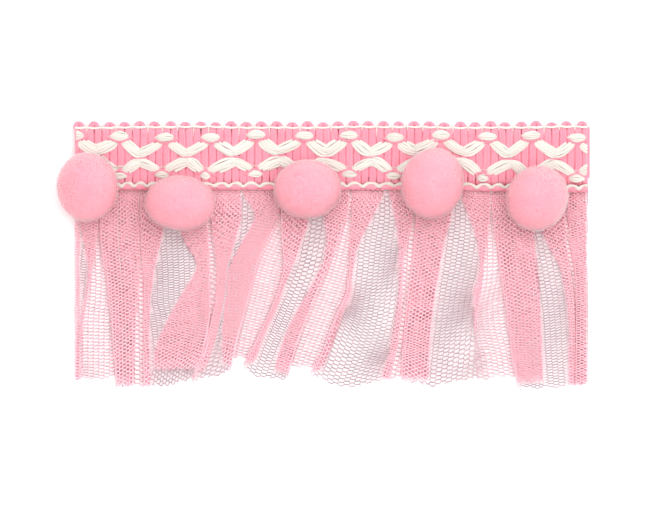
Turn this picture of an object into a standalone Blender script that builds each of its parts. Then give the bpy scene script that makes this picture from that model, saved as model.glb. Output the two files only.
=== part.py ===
"""Pompom fringe trim: a cut length of gimp braid with a gathered net ruffle and five pompoms, face up.

The origin is the middle of the braid's flat back. +X runs along the trim, +Y towards the picot edge and
+Z out of the face. The ruffle's low panels and the braid's back lie on the plane z = 0.
"""

import math
from typing import NamedTuple

import bmesh
import bpy
from mathutils import Matrix, Vector

MM = 0.001

# The whole trim
TRIM_LENGTH = 102.6 * MM
CLEARANCE = 0.3 * MM
SHARP_EDGE_DEG = 50.0

# The braid, measured down from the line where its picots start
PICOT_LINE_Y = 5.3 * MM
BRAID_WIDTH = 13.0 * MM
FLAT_BACK_WIDTH = 10.5 * MM
CROSS_REPEAT = 9.15 * MM
FIRST_OVAL_X = -0.1 * MM
COLUMNS_PER_REPEAT = 12
COLUMNS_PER_PICOT = 4
PICOT_PROFILE = (0.75, 1.0, 0.75, 0.0)
PICOT_HEIGHT = 1.0 * MM
PICOT_UNEVENNESS = 0.18
PICOT_UNEVEN_STEP = 2.3
PICOT_THICKNESS = 0.9 * MM
CHAIN_TWIST = 0.25 * MM

# The ruffle, measured down from the braid's lower edge
RUFFLE_TOP_Y = -7.9 * MM
SHEET = 1.0 * MM
TURN_RADIUS = 0.675 * MM
LAYER_CLEARANCE = 0.36 * MM
NARROWEST_OVERLAP = 1.0 * MM
SHORTEST_WEB = 0.06 * MM
HEADING_SQUEEZE = 0.4
SQUEEZE_DEPTH = 3.6 * MM
HEADING_LIFT = 0.05 * MM
HEADING_TOP_DEPTH = -2.3 * MM
HEADING_END_DEPTH = 0.2 * MM
HEADING_THICKNESS = 1.65 * MM
SHEET_START_DEPTH = -0.8 * MM
LOFT_STARTS, LOFT_ENDS = 9.0 * MM, 22.0 * MM
TURN_STEPS = 3
FRONT_STEPS = 4
STATIONS = (0.0, 0.045, 0.1, 0.17, 0.28, 0.42, 0.57, 0.72, 0.87, 1.0)

# The pompoms
LOCKS_PER_POMPOM = 52
CORE_SHARE = 0.84
UNDERSIDE_SHARE = 0.78
LOCK_ROOT_INSET = 0.17
LOCK_TIP_INSET = 0.08
LOCK_CROWN = 1.03
LOCK_UNEVENNESS = 0.012
LOCK_UNEVEN_STEP, POMPOM_UNEVEN_STEP = 5.1, 1.7


class BraidRow(NamedTuple):
    """A line along the braid: its distance from the picot line, its height and its ribs' rise."""

    below_picots: float
    height: float
    rib: float


BRAID_ROWS = (
    BraidRow(0.3, 1.5, 0.0),
    BraidRow(0.8, 1.3, 0.05),
    BraidRow(1.4, 2.3, 0.14),
    BraidRow(3.1, 2.45, 0.16),
    BraidRow(6.25, 2.45, 0.16),
    BraidRow(9.3, 2.45, 0.16),
    BraidRow(11.2, 2.35, 0.12),
    BraidRow(11.9, 2.75, 0.0),
    BraidRow(12.5, 2.7, 0.0),
    BraidRow(13.0, 2.45, 0.0),
)
CHAIN_ROWS = (7, 8)


class FloatStation(NamedTuple):
    """A place along a cream yarn bundle, aside from its middle: how wide and how high it is there."""

    aside: float
    below_picots: float
    half_width: float
    rise: float


CROSS_TOP = (
    FloatStation(0.0, 5.6, 0.5, 0.5),
    FloatStation(1.3, 5.0, 0.82, 0.64),
    FloatStation(2.7, 4.15, 0.82, 0.6),
    FloatStation(3.7, 3.5, 0.25, 0.25),
)
CROSS_FOOT = (
    FloatStation(0.0, 6.95, 0.5, 0.5),
    FloatStation(1.3, 7.4, 0.82, 0.64),
    FloatStation(2.7, 8.2, 0.78, 0.6),
    FloatStation(3.7, 8.8, 0.25, 0.25),
)
OVAL_TOP = (
    FloatStation(0.0, 2.2, 0.7, 0.6),
    FloatStation(1.2, 2.2, 0.5, 0.5),
    FloatStation(1.9, 2.2, 0.15, 0.25),
)
OVAL_FOOT = (
    FloatStation(0.0, 9.85, 0.6, 0.55),
    FloatStation(1.0, 9.85, 0.45, 0.45),
    FloatStation(1.6, 9.85, 0.15, 0.25),
)
FLOAT_GROUND = 2.45
FLOAT_ROOT = 1.9
FLOAT_SHOULDER = 0.45


class Pleat(NamedTuple):
    """One box pleat. The edges are distances from the left cut end, one at each of EDGE_DEPTHS.

    The cloth comes along the back, turns up at inner_left, back down to outer_left, runs over the front
    to outer_right, turns under to inner_right and goes on along the back.
    """

    outer_left: tuple
    inner_left: tuple
    inner_right: tuple
    outer_right: tuple
    hem_front: float
    hem_behind: float
    loft: float


EDGE_DEPTHS = (0.0, 7.0, 14.0, 22.0, 30.0, 38.0)
PLEATS = (
    Pleat(
        outer_left=(),
        inner_left=(),
        inner_right=(0.6, 1.2, 2.4, 1.4, 0.4, 0.4),
        outer_right=(4.6, 4.6, 3.9, 2.7, 1.7, 1.7),
        hem_front=37.8,
        hem_behind=37.4,
        loft=0.0,
    ),
    Pleat(
        outer_left=(5.0, 5.0, 5.6, 6.8, 7.7, 8.3),
        inner_left=(8.5, 8.5, 9.0, 9.6, 9.7, 9.7),
        inner_right=(8.9, 8.9, 9.4, 10.0, 10.1, 10.1),
        outer_right=(12.7, 12.7, 12.9, 12.7, 12.2, 11.5),
        hem_front=39.0,
        hem_behind=38.6,
        loft=0.3,
    ),
    Pleat(
        outer_left=(13.1, 13.1, 13.3, 13.5, 13.6, 14.2),
        inner_left=(19.0, 17.6, 16.2, 14.7, 14.6, 15.4),
        inner_right=(19.4, 20.6, 23.6, 20.6, 17.6, 16.8),
        outer_right=(26.8, 26.8, 27.1, 27.2, 26.2, 23.6),
        hem_front=38.8,
        hem_behind=35.4,
        loft=0.6,
    ),
    Pleat(
        outer_left=(27.2, 27.4, 28.0, 28.1, 26.7, 24.1),
        inner_left=(33.0, 32.8, 30.6, 29.6, 27.8, 25.4),
        inner_right=(33.4, 35.0, 31.2, 30.2, 28.8, 29.6),
        outer_right=(40.8, 40.2, 37.0, 34.6, 32.4, 31.0),
        hem_front=36.6,
        hem_behind=33.4,
        loft=0.3,
    ),
    Pleat(
        outer_left=(41.2, 41.4, 41.8, 40.0, 36.2, 33.0),
        inner_left=(46.6, 45.6, 44.0, 40.9, 37.6, 35.0),
        inner_right=(49.0, 50.2, 49.8, 45.4, 41.8, 39.8),
        outer_right=(55.0, 54.2, 51.6, 47.6, 44.6, 42.6),
        hem_front=37.2,
        hem_behind=34.8,
        loft=0.8,
    ),
    Pleat(
        outer_left=(55.4, 55.2, 54.8, 53.4, 50.6, 46.6),
        inner_left=(61.8, 58.2, 55.9, 54.4, 51.7, 48.6),
        inner_right=(62.2, 64.4, 64.9, 64.4, 63.2, 61.2),
        outer_right=(67.8, 67.5, 66.3, 65.6, 64.6, 63.0),
        hem_front=38.4,
        hem_behind=37.0,
        loft=1.2,
    ),
    Pleat(
        outer_left=(68.2, 68.0, 67.4, 66.1, 65.5, 65.2),
        inner_left=(75.4, 74.8, 73.0, 71.7, 70.9, 70.6),
        inner_right=(76.4, 80.0, 81.0, 79.4, 81.6, 83.6),
        outer_right=(83.0, 82.8, 81.9, 80.4, 79.0, 77.8),
        hem_front=38.6,
        hem_behind=37.2,
        loft=0.8,
    ),
    Pleat(
        outer_left=(83.4, 83.8, 84.8, 86.2, 87.1, 88.5),
        inner_left=(91.8, 91.8, 92.0, 92.8, 93.3, 93.6),
        inner_right=(92.2, 92.8, 97.2, 98.0, 98.2, 98.2),
        outer_right=(98.2, 98.2, 98.8, 99.2, 99.4, 99.5),
        hem_front=39.2,
        hem_behind=38.6,
        loft=0.9,
    ),
    Pleat(
        outer_left=(98.6, 98.6, 99.3, 99.7, 99.9, 100.0),
        inner_left=(102.3, 102.2, 102.2, 102.2, 102.2, 102.2),
        inner_right=(),
        outer_right=(),
        hem_front=38.4,
        hem_behind=38.4,
        loft=0.0,
    ),
)


class Pompom(NamedTuple):
    """A pompom: its middle, the height it is seated at, its half sizes and its turn in the trim's plane."""

    x: float
    y: float
    seat: float
    half_long: float
    half_wide: float
    half_high: float
    turn_deg: float


POMPOMS = (
    Pompom(-48.9, -6.9, 3.15, 7.0, 6.3, 5.6, 88.0),
    Pompom(-30.3, -10.1, 3.72, 7.2, 5.6, 5.3, -3.0),
    Pompom(-4.8, -7.3, 3.2, 6.9, 6.0, 5.5, 4.0),
    Pompom(20.2, -6.1, 3.22, 7.2, 6.4, 5.7, 76.0),
    Pompom(41.1, -9.1, 3.6, 6.7, 6.2, 5.6, 62.0),
)

# Colour (linear), roughness and sheen of each kind of piece
BRAID_FINISH = ((0.93, 0.30, 0.39), 0.75, 0.3)
NET_FINISH = ((0.95, 0.38, 0.47), 0.65, 0.2)
POMPOM_FINISH = ((0.98, 0.42, 0.52), 0.9, 0.6)


def clear_scene():
    """Remove every object of the scene that the script starts in."""
    for thing in list(bpy.data.objects):
        bpy.data.objects.remove(thing, do_unlink=True)


def cloth_material(name, finish):
    """A cloth material from its colour, roughness and sheen."""
    colour, roughness, sheen = finish
    material = bpy.data.materials.new(name)
    material.use_nodes = True
    shader = material.node_tree.nodes["Principled BSDF"]
    shader.inputs["Base Color"].default_value = (*colour, 1.0)
    shader.inputs["Roughness"].default_value = roughness
    shader.inputs["Metallic"].default_value = 0.0
    shader.inputs["Sheen Weight"].default_value = sheen
    return material


def add_piece(name, vertices, faces, material=None):
    """A named object from a closed mesh, its faces turned outwards and shaded smooth."""
    mesh = bpy.data.meshes.new(name)
    mesh.from_pydata(vertices, [], faces)
    shell = bmesh.new()
    shell.from_mesh(mesh)
    bmesh.ops.recalc_face_normals(shell, faces=shell.faces)
    shell.to_mesh(mesh)
    shell.free()
    mesh.shade_smooth()
    mesh.set_sharp_from_angle(angle=math.radians(SHARP_EDGE_DEG))
    piece = bpy.data.objects.new(name, mesh)
    bpy.context.scene.collection.objects.link(piece)
    if material:
        mesh.materials.append(material)
    return piece


def guide_object(name, shell):
    """A hidden helper object from a bmesh of closed bodies, which is freed."""
    mesh = bpy.data.meshes.new(name)
    shell.to_mesh(mesh)
    shell.free()
    guide = bpy.data.objects.new(name, mesh)
    bpy.context.scene.collection.objects.link(guide)
    guide.hide_render = True
    guide.display_type = "WIRE"
    return guide


def join_guide(piece, name, guide):
    """Join a guide's bodies to a piece."""
    union = piece.modifiers.new(name, "BOOLEAN")
    union.operation = "UNION"
    union.solver = "EXACT"
    union.object = guide


def smooth_step(value, start, end):
    """0 before start, 1 after end and a smooth ramp between them."""
    share = min(max((value - start) / (end - start), 0.0), 1.0)
    return share * share * (3.0 - 2.0 * share)


def along_table(places, values, place):
    """The value at a place, on a smooth curve through the table's values."""
    last = len(places) - 1
    right = next((i for i in range(1, last) if places[i] >= place), last)
    left = right - 1
    span = places[right] - places[left]
    share = min(max((place - places[left]) / span, 0.0), 1.0)
    before, after = max(left - 1, 0), min(right + 1, last)
    slope_left = (values[right] - values[before]) / (places[right] - places[before])
    slope_right = (values[after] - values[left]) / (places[after] - places[left])
    square, cube = share * share, share * share * share
    return (
        values[left] * (2 * cube - 3 * square + 1)
        + values[right] * (3 * square - 2 * cube)
        + slope_left * span * (cube - 2 * square + share)
        + slope_right * span * (cube - square)
    )


# --- The braid ------------------------------------------------------------------------------------


def braid_columns():
    """The distances from the left cut end of the braid's columns of points, one on each rib and groove."""
    step = CROSS_REPEAT / COLUMNS_PER_REPEAT
    whole = int(TRIM_LENGTH / step)
    return [step * i for i in range(whole + 1)] + [TRIM_LENGTH]


def picot_reach(column):
    """How far the picot loop at a column stands out from the braid's upper edge."""
    picot = column // COLUMNS_PER_PICOT
    unevenness = 1.0 + PICOT_UNEVENNESS * math.sin(PICOT_UNEVEN_STEP * picot)
    return PICOT_HEIGHT * PICOT_PROFILE[column % COLUMNS_PER_PICOT] * unevenness


def braid_face_height(column, row_index):
    """The height of the braid's face at a column and row: its ribs, or the twist of its lower chain."""
    row = BRAID_ROWS[row_index]
    if row_index in CHAIN_ROWS:
        twist = math.sin(math.pi * (column / 2.0 + CHAIN_ROWS.index(row_index) * 0.5))
        return row.height * MM + CHAIN_TWIST * twist
    return (row.height + (row.rib if column % 2 else -row.rib)) * MM


def braid_mesh():
    """The braid's points and faces: a face grid over a stepped back, with walls round both."""
    columns = braid_columns()
    step_y = PICOT_LINE_Y - FLAT_BACK_WIDTH
    raised_back = HEADING_THICKNESS + CLEARANCE
    vertices = []
    for column, distance in enumerate(columns):
        x = distance - TRIM_LENGTH / 2
        tip_y = PICOT_LINE_Y + picot_reach(column)
        profile = [(tip_y, PICOT_THICKNESS)]
        for index, row in enumerate(BRAID_ROWS):
            profile.append((PICOT_LINE_Y - row.below_picots * MM, braid_face_height(column, index)))
        profile.append((PICOT_LINE_Y - BRAID_WIDTH, raised_back))
        profile.append((step_y - CLEARANCE / 2, raised_back))
        profile.append((step_y, 0.0))
        profile.append((tip_y, 0.0))
        vertices += [(x, y, z) for y, z in profile]
    ring = len(vertices) // len(columns)
    faces = []
    for column in range(len(columns) - 1):
        start, following = column * ring, (column + 1) * ring
        for i in range(ring):
            j = (i + 1) % ring
            faces.append((start + i, start + j, following + j, following + i))
    faces.append(tuple(range(ring)))
    faces.append(tuple(range((len(columns) - 1) * ring, len(columns) * ring)))
    return vertices, faces


def float_stations(half, middle):
    """A bundle's stations from end to end, as (x, station), without those past the left cut end."""
    left = [(middle - station.aside, station) for station in reversed(half[1:])]
    right = [(middle + station.aside, station) for station in half]
    return [(x, station) for x, station in left + right if x >= 0.0]


def add_float(shell, stations):
    """One yarn bundle as a closed body: a rounded bar that is wide in its arms and drawn in at its ends."""
    rings = []
    for x, station in stations:
        section = (
            (-1.0, FLOAT_ROOT),
            (-FLOAT_SHOULDER, FLOAT_GROUND + station.rise),
            (FLOAT_SHOULDER, FLOAT_GROUND + station.rise),
            (1.0, FLOAT_ROOT),
        )
        ring = []
        for across, height in section:
            y = PICOT_LINE_Y - (station.below_picots + station.half_width * across) * MM
            ring.append(shell.verts.new((x * MM - TRIM_LENGTH / 2, y, height * MM)))
        rings.append(ring)
    for ring, following in zip(rings, rings[1:]):
        for i in range(len(ring)):
            j = (i + 1) % len(ring)
            shell.faces.new((ring[i], ring[j], following[j], following[i]))
    shell.faces.new(rings[0])
    shell.faces.new(rings[-1])


def floats_guide():
    """Every cream bundle of the braid as a guide for a union: two to a cross and two ovals."""
    repeat, length = CROSS_REPEAT / MM, TRIM_LENGTH / MM
    first_oval = FIRST_OVAL_X / MM
    shell = bmesh.new()
    for number in range(math.ceil(length / repeat)):
        oval_x = first_oval + repeat * number
        cross_x = oval_x + repeat / 2
        for half in (OVAL_TOP, OVAL_FOOT):
            add_float(shell, float_stations(half, max(oval_x, 0.0)))
        if cross_x + CROSS_TOP[-1].aside < length:
            for half in (CROSS_TOP, CROSS_FOOT):
                add_float(shell, float_stations(half, cross_x))
    bmesh.ops.recalc_face_normals(shell, faces=shell.faces)
    return guide_object("floats_guide", shell)


def make_braid(material):
    """The gimp heading, one body: its ribbed ground with the cream bundles joined on."""
    braid = add_piece("braid", *braid_mesh(), material)
    join_guide(braid, "floats", floats_guide())
    return braid


# --- The ruffle -----------------------------------------------------------------------------------


def squeeze(depth):
    """The share of its full thickness that the pleated cloth has at a depth, drawn in at its heading."""
    return HEADING_SQUEEZE + (1.0 - HEADING_SQUEEZE) * smooth_step(depth, 0.0, SQUEEZE_DEPTH)


def edge_at(table, depth):
    """A pleat edge's distance from the left cut end at a depth."""
    return along_table(EDGE_DEPTHS, table, max(depth / MM, 0.0)) * MM


def pleat_edges(index, depth):
    """A pleat's edges at a depth, outer left to outer right. The side that is cut open gives None."""
    pleat = PLEATS[index]
    scale = squeeze(depth)
    apart = LAYER_CLEARANCE * scale
    overlap = NARROWEST_OVERLAP * scale
    opens_left, opens_right = not pleat.outer_left, not pleat.outer_right
    outer_left = None if opens_left else edge_at(pleat.outer_left, depth)
    outer_right = None if opens_right else edge_at(pleat.outer_right, depth)
    inner_left = None if opens_left else max(edge_at(pleat.inner_left, depth), outer_left + overlap)
    inner_right = None if opens_right else edge_at(pleat.inner_right, depth)
    if not (opens_left or opens_right):
        middle = (inner_left + inner_right) / 2
        inner_left = min(inner_left, middle - apart / 2)
        inner_right = max(inner_right, middle + apart / 2)
    return outer_left, inner_left, inner_right, outer_right


def turn_point(low_x, top_x, scale, step):
    """A point of the S that carries the cloth from the back layer up to the front one, and its heading.

    step counts the points of the lower turn and then of the upper one. Where the front starts before the
    back ends, both turns are half circles with a straight web between them. Elsewhere they open out.
    """
    radius = TURN_RADIUS * scale
    low_z = SHEET * scale / 2
    run = top_x - low_x
    full_turn = math.pi if run <= 0 else 2 * math.atan2(2 * radius, run)
    web = max(abs(run), SHORTEST_WEB)
    if step <= TURN_STEPS:
        heading = full_turn * step / TURN_STEPS
        return low_x + radius * math.sin(heading), low_z + radius * (1 - math.cos(heading)), heading
    heading = full_turn * (2 * TURN_STEPS + 1 - step) / TURN_STEPS
    sine, cosine = math.sin(full_turn), math.cos(full_turn)
    centre_x = low_x + 2 * radius * sine + web * cosine
    centre_z = low_z + radius * (1 - 2 * cosine) + web * sine
    return centre_x - radius * math.sin(heading), centre_z + radius * math.cos(heading), heading


class Knot(NamedTuple):
    """A point of the cloth's section: its pleat, its side of it, its step there and its height share."""

    pleat: int
    side: str
    step: int
    lift: float


def section_knots():
    """The points of the section in the order in which the cloth runs, from left cut end to right."""
    last_step = 2 * TURN_STEPS + 1
    knots = []
    for index, pleat in enumerate(PLEATS):
        if pleat.outer_left:
            knots += [Knot(index, "left", step, step / last_step) for step in range(last_step + 1)]
        first = 0 if not pleat.outer_left else 1
        last = FRONT_STEPS if not pleat.outer_right else FRONT_STEPS - 1
        knots += [Knot(index, "front", step, 1.0) for step in range(first, last + 1)]
        if pleat.outer_right:
            knots += [Knot(index, "right", step, step / last_step) for step in range(last_step, -1, -1)]
    return knots


def knot_depth(knot, station):
    """How far below the braid's edge a knot lies at a station, from its layer's own hem."""
    pleat = PLEATS[knot.pleat]
    behind = PLEATS[max(knot.pleat - 1, 0)] if knot.side == "left" else pleat
    hem = (behind.hem_behind + (pleat.hem_front - behind.hem_behind) * knot.lift) * MM
    return SHEET_START_DEPTH + (hem - SHEET_START_DEPTH) * station


def knot_section(knot, depth):
    """A knot's place across the cloth, (x, z), and its normal there, before the trim is centred."""
    scale = squeeze(depth)
    reach = (TURN_RADIUS + SHEET / 2) * scale
    outer_left, inner_left, inner_right, outer_right = pleat_edges(knot.pleat, depth)
    if knot.side == "left":
        x, z, heading = turn_point(inner_left - reach, outer_left + reach, scale, knot.step)
        return x, z, (-math.sin(heading), math.cos(heading))
    if knot.side == "right":
        x, z, heading = turn_point(-inner_right - reach, reach - outer_right, scale, knot.step)
        return -x, z, (math.sin(heading), math.cos(heading))
    start = 0.0 if outer_left is None else outer_left + reach
    end = TRIM_LENGTH if outer_right is None else outer_right - reach
    share = knot.step / FRONT_STEPS
    loft = PLEATS[knot.pleat].loft * MM * smooth_step(depth, LOFT_STARTS, LOFT_ENDS)
    top_z = (SHEET / 2 + 4 * TURN_RADIUS) * scale
    return start + (end - start) * share, top_z + loft * math.sin(math.pi * share), (0.0, 1.0)


def ruffle_mesh():
    """The pleated cloth as one closed sheet: its front and back grids joined round the rim."""
    knots = section_knots()
    count = len(knots)
    vertices = []
    for side in (1.0, -1.0):
        for station in STATIONS:
            for knot in knots:
                depth = knot_depth(knot, station)
                x, z, (normal_x, normal_z) = knot_section(knot, depth)
                half = side * SHEET * squeeze(depth) / 2
                lift = HEADING_LIFT * (1.0 - smooth_step(depth, 0.0, SQUEEZE_DEPTH))
                across = x - TRIM_LENGTH / 2 + half * normal_x
                vertices.append((across, RUFFLE_TOP_Y - depth, z + half * normal_z + lift))
    layer = count * len(STATIONS)
    faces = []
    for row in range(len(STATIONS) - 1):
        for i in range(count - 1):
            a = row * count + i
            quad = (a, a + 1, a + count + 1, a + count)
            faces.append(quad)
            faces.append(tuple(layer + corner for corner in reversed(quad)))
        for i in (0, count - 1):
            a = row * count + i
            faces.append((a, a + count, layer + a + count, layer + a))
    for row in (0, len(STATIONS) - 1):
        for i in range(count - 1):
            a = row * count + i
            faces.append((a, a + 1, layer + a + 1, layer + a))
    return vertices, faces


def heading_block():
    """The stitched heading, where the pleats' roots are one thickness, as a plain bar for a union."""
    bar = bmesh.new()
    bmesh.ops.create_cube(bar, size=1.0)
    depth_span = HEADING_END_DEPTH - HEADING_TOP_DEPTH
    middle_y = RUFFLE_TOP_Y - (HEADING_END_DEPTH + HEADING_TOP_DEPTH) / 2
    size = Matrix.Diagonal((TRIM_LENGTH - 2 * HEADING_LIFT, depth_span, HEADING_THICKNESS, 1.0))
    place = Matrix.Translation((0.0, middle_y, HEADING_THICKNESS / 2))
    bmesh.ops.transform(bar, matrix=place @ size, verts=bar.verts)
    return guide_object("heading_guide", bar)


def make_ruffle(material):
    """The gathered net ruffle with its stitched heading, one body."""
    ruffle = add_piece("ruffle", *ruffle_mesh(), material)
    join_guide(ruffle, "heading", heading_block())
    return ruffle


# --- The pompoms ----------------------------------------------------------------------------------


def spread_directions(count):
    """Directions spread evenly over a ball, on a spiral from pole to pole."""
    golden_turn = math.pi * (3 - math.sqrt(5))
    directions = []
    for i in range(count):
        z = 1 - 2 * (i + 0.5) / count
        radius = math.sqrt(1 - z * z)
        turn = golden_turn * i
        directions.append(Vector((radius * math.cos(turn), radius * math.sin(turn), z)))
    return directions


def lock_corners():
    """The triangles between the spread directions: each one is the foot of a lock of yarn."""
    hull = bmesh.new()
    for direction in spread_directions(LOCKS_PER_POMPOM // 2 + 2):
        hull.verts.new(direction)
    bmesh.ops.convex_hull(hull, input=hull.verts)
    hull.verts.index_update()
    points = [vertex.co.copy() for vertex in hull.verts]
    triangles = [tuple(vertex.index for vertex in face.verts) for face in hull.faces]
    hull.free()
    return points, triangles


def pompom_mesh(pompom, number):
    """A ball of three-sided locks that stand apart from each other on one core, pressed a little below."""
    points, triangles = lock_corners()
    unit = [point.normalized() * CORE_SHARE for point in points]
    faces = []
    for order, corners in enumerate(triangles):
        middle = sum((points[corner].normalized() for corner in corners), Vector()) / 3
        uneven_angle = LOCK_UNEVEN_STEP * order + POMPOM_UNEVEN_STEP * number
        reach = 1.0 + LOCK_UNEVENNESS * math.sin(uneven_angle)
        root, tip = [], []
        for corner in corners:
            direction = points[corner].normalized()
            root.append(len(unit))
            unit.append(direction.lerp(middle, LOCK_ROOT_INSET).normalized() * CORE_SHARE)
        for corner in corners:
            direction = points[corner].normalized()
            tip.append(len(unit))
            unit.append(direction.lerp(middle, LOCK_TIP_INSET).normalized() * reach)
        crown = len(unit)
        unit.append(middle.normalized() * reach * LOCK_CROWN)
        for i in range(3):
            j = (i + 1) % 3
            faces.append((corners[i], corners[j], root[j], root[i]))
            faces.append((root[i], root[j], tip[j], tip[i]))
            faces.append((tip[i], tip[j], crown))
    turn = Matrix.Rotation(math.radians(pompom.turn_deg), 3, "Z")
    below = pompom.half_high * UNDERSIDE_SHARE
    lowest = -min(point.z for point in unit) * below * MM
    middle = Vector((pompom.x * MM, pompom.y * MM, pompom.seat * MM + lowest))
    vertices = []
    for point in unit:
        high = pompom.half_high if point.z > 0 else below
        swelled = Vector((point.x * pompom.half_long, point.y * pompom.half_wide, point.z * high)) * MM
        vertices.append(middle + turn @ swelled)
    return vertices, faces


def make_trim():
    """Every piece of the trim, each with its own material."""
    clear_scene()
    make_braid(cloth_material("braid", BRAID_FINISH))
    make_ruffle(cloth_material("net", NET_FINISH))
    for number, pompom in enumerate(POMPOMS, start=1):
        material = cloth_material(f"pompom_{number}", POMPOM_FINISH)
        add_piece(f"pompom_{number}", *pompom_mesh(pompom, number), material)


make_trim()
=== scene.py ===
"""Pompom fringe trim: the looks of the gimp braid, the gathered net ruffle and the five pompoms.

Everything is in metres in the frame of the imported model: +X along the trim, +Y towards the picots and
+Z out of its face. The tables of the pleats, the cream bundles and the pompoms are those of the solids,
with more stations.
"""

import sys

import logging
import math
from dataclasses import dataclass, field
from enum import Enum
from typing import Any, Iterable, NamedTuple, Optional, Sequence

import bmesh
import bpy
import numpy as np
from mathutils import Matrix, Vector, noise


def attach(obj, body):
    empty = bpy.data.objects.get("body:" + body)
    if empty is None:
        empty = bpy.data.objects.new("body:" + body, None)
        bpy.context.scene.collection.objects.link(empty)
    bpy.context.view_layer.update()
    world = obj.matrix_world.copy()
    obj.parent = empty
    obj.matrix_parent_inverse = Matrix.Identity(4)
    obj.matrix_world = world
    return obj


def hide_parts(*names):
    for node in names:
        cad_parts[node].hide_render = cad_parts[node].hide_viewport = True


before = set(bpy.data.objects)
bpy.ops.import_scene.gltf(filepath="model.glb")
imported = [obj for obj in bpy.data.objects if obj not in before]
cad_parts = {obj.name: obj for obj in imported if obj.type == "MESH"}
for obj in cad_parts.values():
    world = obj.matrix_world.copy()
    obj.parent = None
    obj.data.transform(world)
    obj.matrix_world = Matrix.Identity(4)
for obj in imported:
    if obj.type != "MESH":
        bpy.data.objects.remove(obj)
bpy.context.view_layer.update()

log = logging.getLogger("pompom_fringe_trim")

MM = 0.001

# The whole trim, in metres, as in the solids
TRIM_LENGTH = 102.6 * MM
LEFT_END = -TRIM_LENGTH / 2
PICOT_LINE_Y = 5.3 * MM
RUFFLE_TOP_Y = -7.9 * MM

# The photograph's frame, for the camera alone
FRAME_WIDTH = 132.6 * MM
FRAME_CENTRE_Y = -20.2 * MM


class Slot(Enum):
    """The record's material slots."""

    BRAID = "braid_yarn"
    CREAM = "cream_yarn"
    NET = "net"
    POMPOM = "pompom_yarn"


# --- Small helpers ----------------------------------------------------------------------------------


def smooth_step(value: Any, start: float, end: float) -> Any:
    """A smooth ramp.

    Args:
        value: a number or an array of them.
        start: where the ramp leaves 0.
        end: where it reaches 1.

    Returns:
        0 before start, 1 after end and a smooth ramp between them.
    """
    share = np.clip((value - start) / (end - start), 0.0, 1.0)
    return share * share * (3.0 - 2.0 * share)


def along_table(places: Sequence[float], values: Sequence[float], wanted: Any) -> np.ndarray:
    """Values on a smooth curve through a table.

    Args:
        places: the table's places, rising.
        values: its value at each place.
        wanted: the places to read it at, as an array or a number.

    Returns:
        The curve's values there. Before the first place and after the last they stay the same.
    """
    at = np.asarray(places, float)
    known = np.asarray(values, float)
    slopes = np.gradient(known, at)
    wanted = np.clip(np.asarray(wanted, float), at[0], at[-1])
    left = np.clip(np.searchsorted(at, wanted, side="right") - 1, 0, len(at) - 2)
    span = at[left + 1] - at[left]
    share = (wanted - at[left]) / span
    square, cube = share**2, share**3
    return (
        known[left] * (2 * cube - 3 * square + 1)
        + known[left + 1] * (3 * square - 2 * cube)
        + slopes[left] * span * (cube - 2 * square + share)
        + slopes[left + 1] * span * (cube - square)
    )


def link_object(name: str, mesh: bpy.types.Mesh) -> bpy.types.Object:
    """A named object of the scene that holds a mesh."""
    thing = bpy.data.objects.new(name, mesh)
    bpy.context.scene.collection.objects.link(thing)
    return thing


def store_floats(mesh: bpy.types.Mesh, name: str, values: np.ndarray, domain: str = "POINT") -> None:
    """Keeps one number for each of a mesh's points or edges as a named attribute."""
    attribute = mesh.attributes.new(name, "FLOAT", domain)
    attribute.data.foreach_set("value", np.asarray(values, np.float32))


# --- Geometry Nodes ---------------------------------------------------------------------------------


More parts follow.
